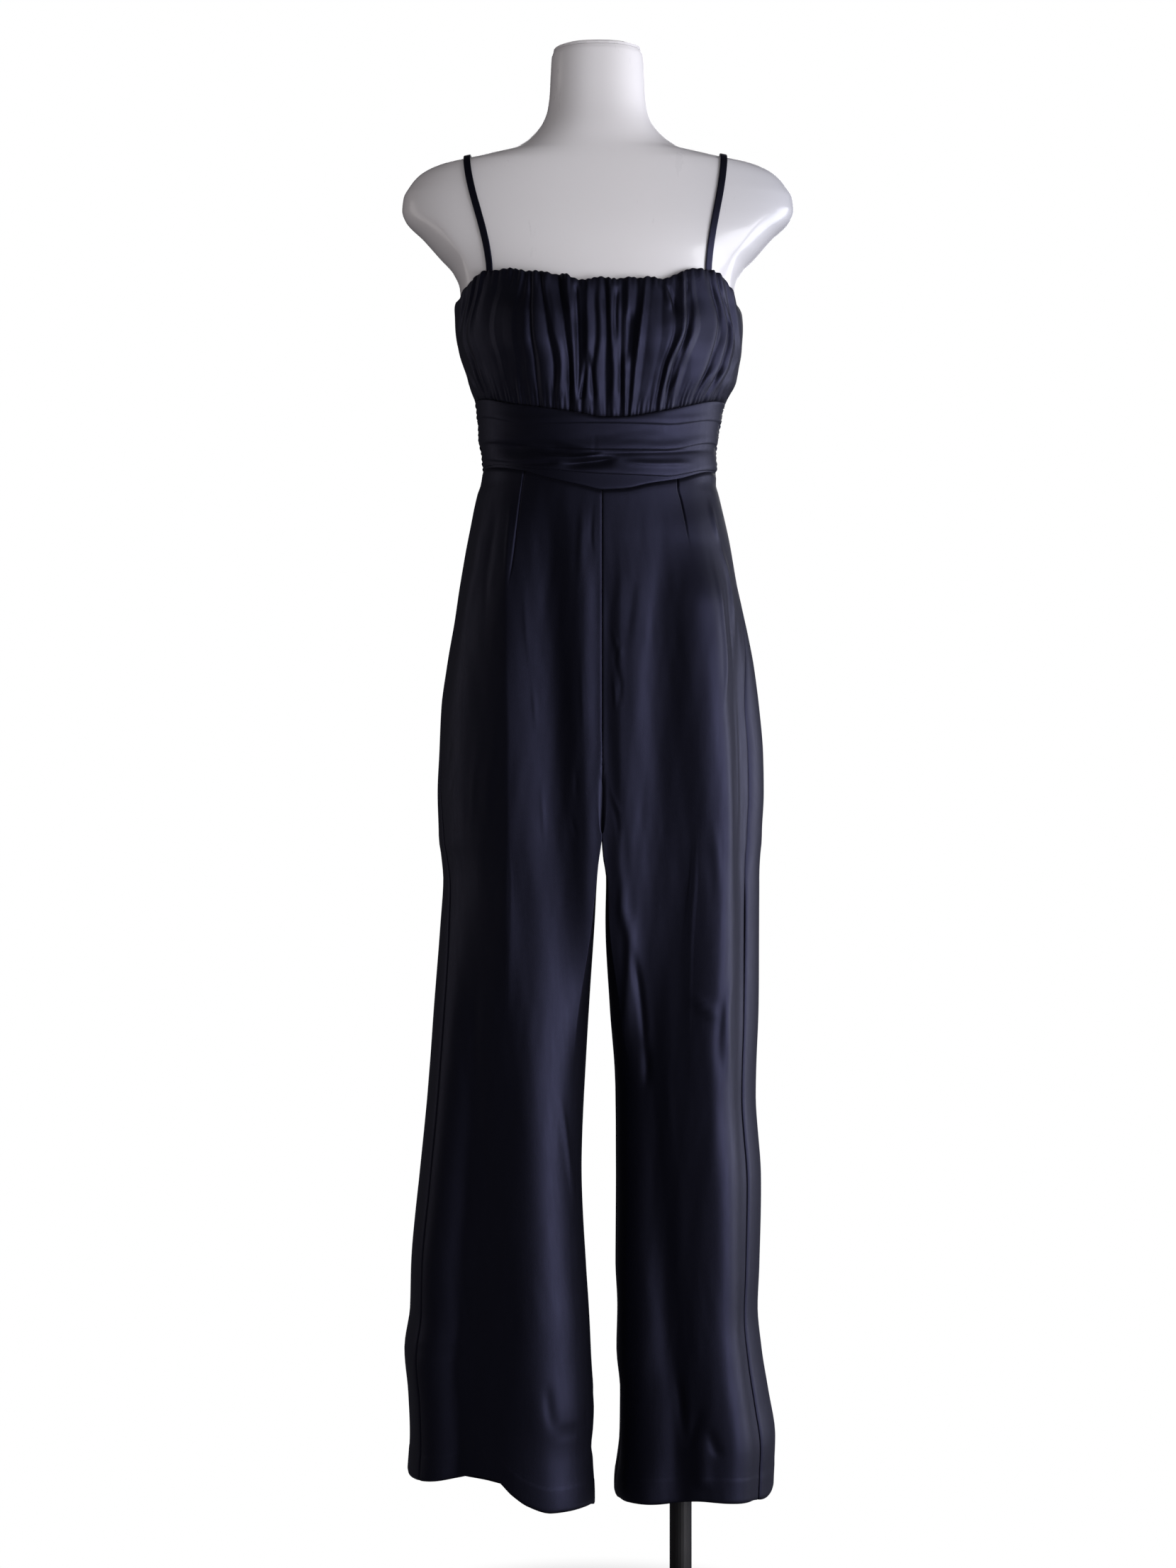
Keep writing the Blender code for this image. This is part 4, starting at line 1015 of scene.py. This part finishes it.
# Below each dart a long edge runs on to the hem
frontHardLines = {
    -1: (
        *dartLines[-1],
        *((-97, 1060), (-97, 863), (-99, 757), (-98, 690), (-92, 580), (-84, 480)),
        *((-78, 350), (-75, 100)),
    ),
    1: (*dartLines[1], (104, 1120), (108, 1000), (111, 863), (111, 700), (112, 500), (117, 300), (119, 100)),
}


def crotchShare(z):
    t = np.clip((crotchTop - z) / (crotchTop - crotch), 0, 1)
    return 1 - np.sqrt(1 - t * t)


def sideSeam(side, z):
    # The side seam swings forward from the hip down, sooner on the left
    low, turn = (0.990, 0.30) if side > 0 else (0.700, 0.26)
    return turn * (1 - ease(low, 1.170, z))


def lineAcross(line, z):
    points = np.array(line, float)[::-1] * mm
    return curve(points[:, 1], points[:, 0], z)


def placeOf(side, z, across):
    # The place round the front of a leg that shows this far across
    places = np.linspace(0, 1.9, 240)
    made = leg(side, z[:, None], places[None, :])
    shown, _ = seen(made)
    order = side * shown
    return np.array([np.interp(-side * a, -row, places) for a, row in zip(across, order)])


def panelHeights(rows):
    # From the waist to the hem, with the rows at the crotch spaced along its arch
    arch = np.sin(np.linspace(0, math.pi / 2, int(rows * trousers["archShare"])))
    stretches = trousers["stretches"]
    hip, below, low = (np.linspace(*ends, int(rows * share)) for *ends, share in stretches)
    return np.concatenate([hip, mix(crotchTop, crotch, arch), below, low])


def frontPlaces(side, heights, columns):
    # From the side seam to the dart's line, on to the middle, and round to the inseam
    share = crotchShare(heights)
    lineTop = waistSeamFront(lineAcross(frontHardLines[side], heights))
    shaping = ease(trousers["waistShaping"], heights[0], heights)
    real = heights + (lineTop - heights[0]) * shaping
    nearer = eyeDistance / (eyeDistance - 0.1)
    shown = lineAcross(frontHardLines[side], eyeHeight + (real - eyeHeight) * nearer)
    hard = placeOf(side, real, shown)[:, None]
    seam, corner = sideSeam(side, heights)[:, None], mix(0.985, 1.0, share)[:, None]
    inner = mix(1.0, inseam, share)[:, None]
    outerCount = int(columns * trousers["outerShare"])
    outerPart = mix(seam, hard, spread(0, 1, outerCount))
    innerPart = mix(hard, corner, spread(0, 1, columns - outerCount - 11)[1:])
    return np.concatenate([outerPart, innerPart, mix(corner, inner, np.linspace(0, 1, 13)[1:])], 1)


def backPlaces(side, heights, columns):
    inner = 4 - mix(1.0, 4 - inseam, crotchShare(heights))
    seam = 4 + sideSeam(side, heights)
    return mix(inner[:, None], seam[:, None], spread(0, 1, columns, 3))


def frontRelief(base, fromStart, fromMiddle):
    across, height = seen(base)
    flat = ease(0.015, 0.055, -base[..., 1]) * ease(0, 0.050, fromStart)
    relief = foldRelief(base[..., 0], base[..., 2], frontFolds) * flat
    relief += creaseRelief(across, height, frontCreases) * flat
    relief += creaseRelief(across, height, levelCreases)
    return relief * ease(0.004, 0.020, fromMiddle)


def backRelief(side, base, z, fromEnd, fromMiddle):
    flat = ease(0.015, 0.055, base[..., 1])
    relief = foldRelief(base[..., 0], base[..., 2], backFolds) * flat
    relief += creaseRelief(base[..., 0], base[..., 2], backCreases)
    relief *= ease(0.004, 0.024, fromMiddle)
    if side > 0:
        tuck = (1 - ease(1.050, 1.120, z)) * ease(0.780, 0.860, z)
        relief += edgeRoll(fromEnd, 0.0035, 0.006) * tuck
    return relief


def hemHeight(sideName, isFront, across, y):
    hem = read(hemLine, sideName + ("Front" if isFront else "Back"), across)
    if isFront:
        return hem
    # The back's strip that faces forward follows the front's hem
    inFront = read(hemLine, sideName + "Front", across)
    return mix(hem, inFront, ease(-0.040, 0, -y) * ease(0.06, 0.10, across))


def trouserPanel(side, isFront):
    columns, rows = trousers["frontGrid" if isFront else "backGrid"]
    sideName = "left" if side > 0 else "right"
    end = "Front" if isFront else "Back"
    heights = panelHeights(rows)
    u = (frontPlaces if isFront else backPlaces)(side, heights, columns)
    nudge = seamGap / 2 / sideRadius
    inside = nudge * ease(0, 0.3, crotchShare(heights))
    u[:, 0] += nudge if isFront else inside
    u[:, -1] -= inside if isFront else nudge
    z = np.broadcast_to(heights[:, None], u.shape)
    x, y = np.moveaxis(leg(side, z, u), -1, 0)[:2]
    waistSeam = waistSeamFront if isFront else waistSeamBack
    top = waistSeam(leg(side, waistSeam(x), u)[..., 0]) - seamGap / 2
    hem = hemHeight(sideName, isFront, np.abs(x), y)
    height = z + (top - heights[0]) * ease(trousers["waistShaping"], heights[0], z)
    height = height + (hem - heights[-1]) * (1 - ease(heights[-1], trousers["hemShaping"], z))
    base = leg(side, height, u)
    fromMiddle = np.abs(base[..., 0] - centreFront)
    closed = ease(0.862, 0.868, height) * (1 - ease(0.0006, 0.004, fromMiddle))
    base[..., 0] -= side * 0.0002 * closed
    direction = outward(lambda t: leg(side, height, t), u)
    facing = (direction * (base - leg(side, height, u + 2))).sum(-1)
    direction = np.where(facing[..., None] < 0, -direction, direction)
    steps = np.linalg.norm(np.diff(base, axis=1), axis=-1)
    fromStart = np.concatenate([np.zeros((len(heights), 1)), np.cumsum(steps, 1)], 1)
    fromEnd = fromStart[:, -1:] - fromStart
    if isFront:
        relief = frontRelief(base, fromStart, fromMiddle)
    else:
        relief = backRelief(side, base, z, fromEnd, fromMiddle)
    relief *= ease(0, 0.05, top - height)
    across, shownHeight = seen(base)
    if isFront:
        relief += creaseRelief(across, shownHeight, dartCreases)
        if side > 0:
            relief += edgeRoll(fromStart, 0.0030, 0.0018) * (1 - ease(1.080, 1.150, z))
    relief += streaks(across, shownHeight, 11 + side + 2 * isFront, *trousers["ripples"])
    relief += streaks(across, shownHeight, 23 + side, *trousers["fineRipples"])
    relief += edgeRoll(fromStart, 0.0009, 0.0009) + edgeRoll(fromEnd, 0.0009, 0.0009)
    relief += edgeRoll(top - height, 0.0007, 0.0010)
    stitch = height - hem - trousers["hem"]
    relief -= 0.0004 * bell(stitch, 0.0016)
    relief += 0.0004 * (1 - ease(0, 0.004, stitch))
    relief += edgeRoll(height - hem, 0.0008, 0.0010)
    outer = base + direction * relief[..., None]
    pieceName, nodeName = "trouser" + end + sideName.title(), f"trouser_{end.lower()}_{sideName}"
    seams = ("start", "end", "top")
    made = shell(pieceName, nodeName, outer, direction, trousers["cloth"], seams)


for side in (-1, 1):
    trouserPanel(side, True)
    trouserPanel(side, False)
print("trousers made")

# Form and stand


formSizes = table(
    ("height", "half", "bulk", "edge", "front", "back"),
    (
        (1711.6, 49, 49, 49, 50, 55),
        (1707, 50.5, 50.5, 50.5, 51.5, 57),
        (1688, 51.6, 51.6, 51.6, 52, 59),
        (1668, 52.6, 52.6, 52.6, 52.5, 62),
        (1651, 54.8, 54.8, 54.8, 54, 66),
        (1642, 57.5, 57.5, 57.5, 55.5, 68.5),
        (1633, 62, 62, 62, 57.5, 71),
        (1624, 69, 69, 69, 59.5, 74),
        (1614.5, 80, 80, 80, 61.5, 77),
        (1605, 99, 99, 99, 64, 80),
        (1596, 139, 139, 139, 67, 82),
        (1587, 179, 179, 179, 70, 84),
        (1577, 196, 196, 195, 73, 86),
        (1566, 205, 205, 203, 76, 88),
        (1555, 211, 211, 205, 79, 89.5),
        (1541, 212.5, 213, 192, 82.5, 92),
        (1531, 209, 212, 181, 85, 93.5),
        (1513, 191, 205, 166, 89, 95),
        (1494, 174, 190, 153, 92, 95),
        (1476, 158, 172, 143, 94, 94),
        (1457, 150, 158, 141, 96.5, 92.5),
        (1430, 148, 149, 143, 100, 91),
        (1400, 147, 147, 147, 102, 87.5),
        (1356, 134, 134, 134, 96, 80),
        (1319, 123.5, 123.5, 123.5, 89, 74.5),
        (1277, 118, 118, 118, 86, 73),
        (1245, 119.5, 119.5, 119.5, 86.5, 79),
        (1186, 131, 131, 131, 87, 92),
        (1094, 143, 143, 143, 85, 102),
        (1002, 150, 150, 150, 83, 102),
        (962, 148, 148, 148, 79, 98),
        (950, 143, 143, 143, 75, 93),
        (946, 136, 136, 136, 69, 87),
    ),
)


def form(z, turn):
    bulk, edge, half = (read(formSizes, name, z) for name in ("bulk", "edge", "half"))
    isFront = np.sin(turn) > 0
    depth = np.where(isFront, read(formSizes, "front", z), read(formSizes, "back", z))
    x, y = oval(bulk, depth, turn, 2.3)
    cut = edge + (np.abs(x) - edge) * (half - edge) / np.maximum(bulk - edge, 1e-6)
    x = np.where(np.abs(x) > edge, np.sign(x) * cut, x)
    y = -y - np.where(isFront, bust(x, z) * np.sin(turn), 0)
    return np.stack([x, y, z], -1)


def closedLoft(name, rings, material, fabric=None):
    # Rings joined into a wall, with a fan over each end
    rows, columns = rings.shape[:2]
    count = rows * columns
    index = np.arange(count).reshape(rows, columns)
    following = np.roll(index, -1, axis=1)
    walls = np.stack([index[:-1], index[1:], following[1:], following[:-1]], -1).reshape(-1, 4)
    pairs = range(0, columns - 2, 2)
    first, last = index[0], index[-1]
    tops = [(count, *first[j : j + 3]) for j in pairs]
    tops.append((count, first[-2], first[-1], first[0]))
    lows = [(count + 1, *last[j : j + 3][::-1]) for j in pairs]
    lows.append((count + 1, last[0], last[-1], last[-2]))
    middles = np.array([rings[0].mean(0), rings[-1].mean(0)])
    points = np.concatenate([rings.reshape(-1, 3), middles])
    if fabric is not None:
        fabric = np.concatenate([fabric.reshape(-1, 2), fabric[[0, -1], 0]])
    quads = np.concatenate([walls, np.array(tops), np.array(lows)])
    made = addMesh(name, points, quads, material, fabric)
    made.data.set_sharp_from_angle(angle=math.radians(38))
    return made


def dressForm():
    shoulders, neckRoot = np.linspace(1.40, 1.7116, 90), np.linspace(1.58, 1.61, 24)
    heights = np.unique(np.concatenate([formSizes["height"][0], shoulders, neckRoot]))[::-1]
    turns = np.linspace(0, 2 * math.pi, 145)[:-1]
    rings = form(*np.broadcast_arrays(heights[:, None], turns[None, :]))
    made = closedLoft("form", rings, white)
    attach(made, "root")
    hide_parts("dress_form")


# Straps. Each lies on the form and spans its hollows in straight runs


straps = {"half": 0.0038, "thickness": 0.0018, "lift": 0.0019, "tuckedIn": 0.006}


def formDepth(x, z, isFront):
    share = np.clip(np.abs(x) / read(formSizes, "bulk", z), 0, 1) ** 2.3
    depth = (1 - share) ** (1 / 2.3) * read(formSizes, "front" if isFront else "back", z)
    return -depth - bust(x, z) if isFront else depth


def strapEdge(frontX, topX, backX, ridge):
    contact = []
    for isFront, endX in ((True, frontX), (False, backX)):
        end = (read(bodiceTop, "height", endX) if isFront else backTopHeight) - straps["tuckedIn"]
        z = mix(end, ridge, np.sin(np.linspace(0, 0.985, 60) * math.pi / 2))
        x = mix(endX, topX, ease(end, ridge, z))
        run = np.stack([x, formDepth(x, z, isFront), z], -1)
        contact += list(run if isFront else run[::-1])
    hull = []
    for point in contact:
        while len(hull) > 1:
            a, b = hull[-2], hull[-1]
            if (b[1] - a[1]) * (point[2] - b[2]) - (b[2] - a[2]) * (point[1] - b[1]) < 0:
                break
            hull.pop()
        hull.append(point)
    return smoothLine([tuple(point / mm) for point in hull], 150)


def strap(name, nodeName, places, ridge):
    half, thickness = straps["half"], straps["thickness"]
    left, right = (strapEdge(*(x + shift for x in places), ridge) for shift in (-half, half))
    middle = (left + right) / 2
    along = np.gradient(middle, axis=0)
    across = unit(right - left)
    up = unit(np.cross(across, along))
    turns = np.linspace(0, 2 * math.pi, 25)[:-1]
    x, lift = oval(half, thickness / 2, turns, 3.6)
    lift += 0.00012 * bell(np.abs(x) - 0.0029, 0.0003) * np.sign(lift)
    centre = middle + up * straps["lift"]
    rings = centre[:, None] + across[:, None] * x[:, None] + up[:, None] * lift[:, None]
    length = np.concatenate([[0], np.cumsum(np.linalg.norm(np.diff(middle, axis=0), axis=1))])
    fabric = np.stack(np.broadcast_arrays(x[None, :], length[:, None]), -1)
    made = closedLoft(name, rings, cloth, fabric)
    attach(made, "root")
    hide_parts(nodeName)


dressForm()
strap("strapRight", "strap_right", (-0.114, -0.140, -0.092), 1.5955)
strap("strapLeft", "strap_left", (0.116, 0.134, 0.094), 1.5965)
for nodeName, material in (
    ("form_neck_cap", white),
    ("form_pole", poleMetal),
    ("form_base_collar", poleMetal),
    ("form_base_plate", baseMetal),
):
    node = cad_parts[nodeName]
    node.data.materials.clear()
    node.data.materials.append(material)
print("form and stand made")

# Floor, light and camera


bpy.ops.mesh.primitive_circle_add(vertices=96, radius=30, fill_type="NGON")
floor = bpy.context.object
floor.name = "floor"
floor.data.materials.append(floorFinish())
floor.visible_glossy = floor.visible_diffuse = False


def areaLight(name, place, aim, size, power, colour):
    light = bpy.data.lights.new(name, "AREA")
    light.shape = "RECTANGLE"
    light.size, light.size_y = size
    light.energy = power
    light.color = colour
    made = bpy.data.objects.new(name, light)
    bpy.context.scene.collection.objects.link(made)
    made.location = place
    made.rotation_euler = (Vector(aim) - Vector(place)).to_track_quat("-Z", "Y").to_euler()


# Place, aim, size, power and colour
lights = {
    "key": ((2.45, -1.9, 0.86), (0, 0, 0.86), (2.4, 1.6), 86, (0.95, 0.96, 1)),
    "side": ((3.0, 0.6, 1.0), (0, 0, 1.0), (1.6, 2.0), 56, (0.88, 0.90, 1)),
    "front": ((0.8, -4.2, 1.2), (0, 0, 1.0), (1.2, 1.4), 20, (1, 1, 1)),
    "left": ((-3.0, 0.5, 1.4), (0, 0, 1.0), (0.8, 2.4), 7, (1, 0.94, 0.92)),
    "back": ((0.4, 3.0, 2.4), (0, 0, 1.0), (2.0, 1.6), 25, (1, 1, 1)),
}
for name, settings in lights.items():
    areaLight(name, *settings)

world = bpy.data.worlds.new("studio")
bpy.context.scene.world = world
world.use_nodes = True
tree = world.node_tree
tree.nodes.clear()


def background(colour, strength=1.0):
    made = tree.nodes.new("ShaderNodeBackground")
    made.inputs["Color"].default_value = (*colour, 1)
    made.inputs["Strength"].default_value = strength
    return made


def either(ray, first, second):
    made = tree.nodes.new("ShaderNodeMixShader")
    for socket, source in zip(made.inputs, (path.outputs[ray], first.outputs[0], second.outputs[0])):
        tree.links.new(source, socket)
    return made


# White behind, dim in the cloth's gloss and less so from below, and a soft fill
path = tree.nodes.new("ShaderNodeLightPath")
bright, dim = background((1, 1, 1)), background((0.86, 0.86, 1.0))
soft = background((1.0, 0.95, 0.96), 0.20)
towards = tree.nodes.new("ShaderNodeTexCoord")
upward = tree.nodes.new("ShaderNodeSeparateXYZ")
fromFloor = tree.nodes.new("ShaderNodeMapRange")
for name, value in (("From Min", 0.02), ("From Max", -0.30), ("To Min", 0.030), ("To Max", 0.070)):
    fromFloor.inputs[name].default_value = value
tree.links.new(towards.outputs["Generated"], upward.inputs[0])
tree.links.new(upward.outputs["Z"], fromFloor.inputs["Value"])
tree.links.new(fromFloor.outputs["Result"], dim.inputs["Strength"])
out = tree.nodes.new("ShaderNodeOutputWorld")
studio = either("Is Camera Ray", either("Is Diffuse Ray", dim, soft), bright)
tree.links.new(studio.outputs[0], out.inputs["Surface"])

camera = bpy.data.cameras.new("camera")
camera.sensor_width = 36
camera.lens = 63.4
eye = bpy.data.objects.new("camera", camera)
bpy.context.scene.collection.objects.link(eye)
eye.location = (eyeAcross, -eyeDistance, eyeHeight)
eye.rotation_euler = (math.pi / 2, 0, 0)
bpy.context.scene.camera = eye
bpy.context.scene.view_settings.view_transform = "Standard"
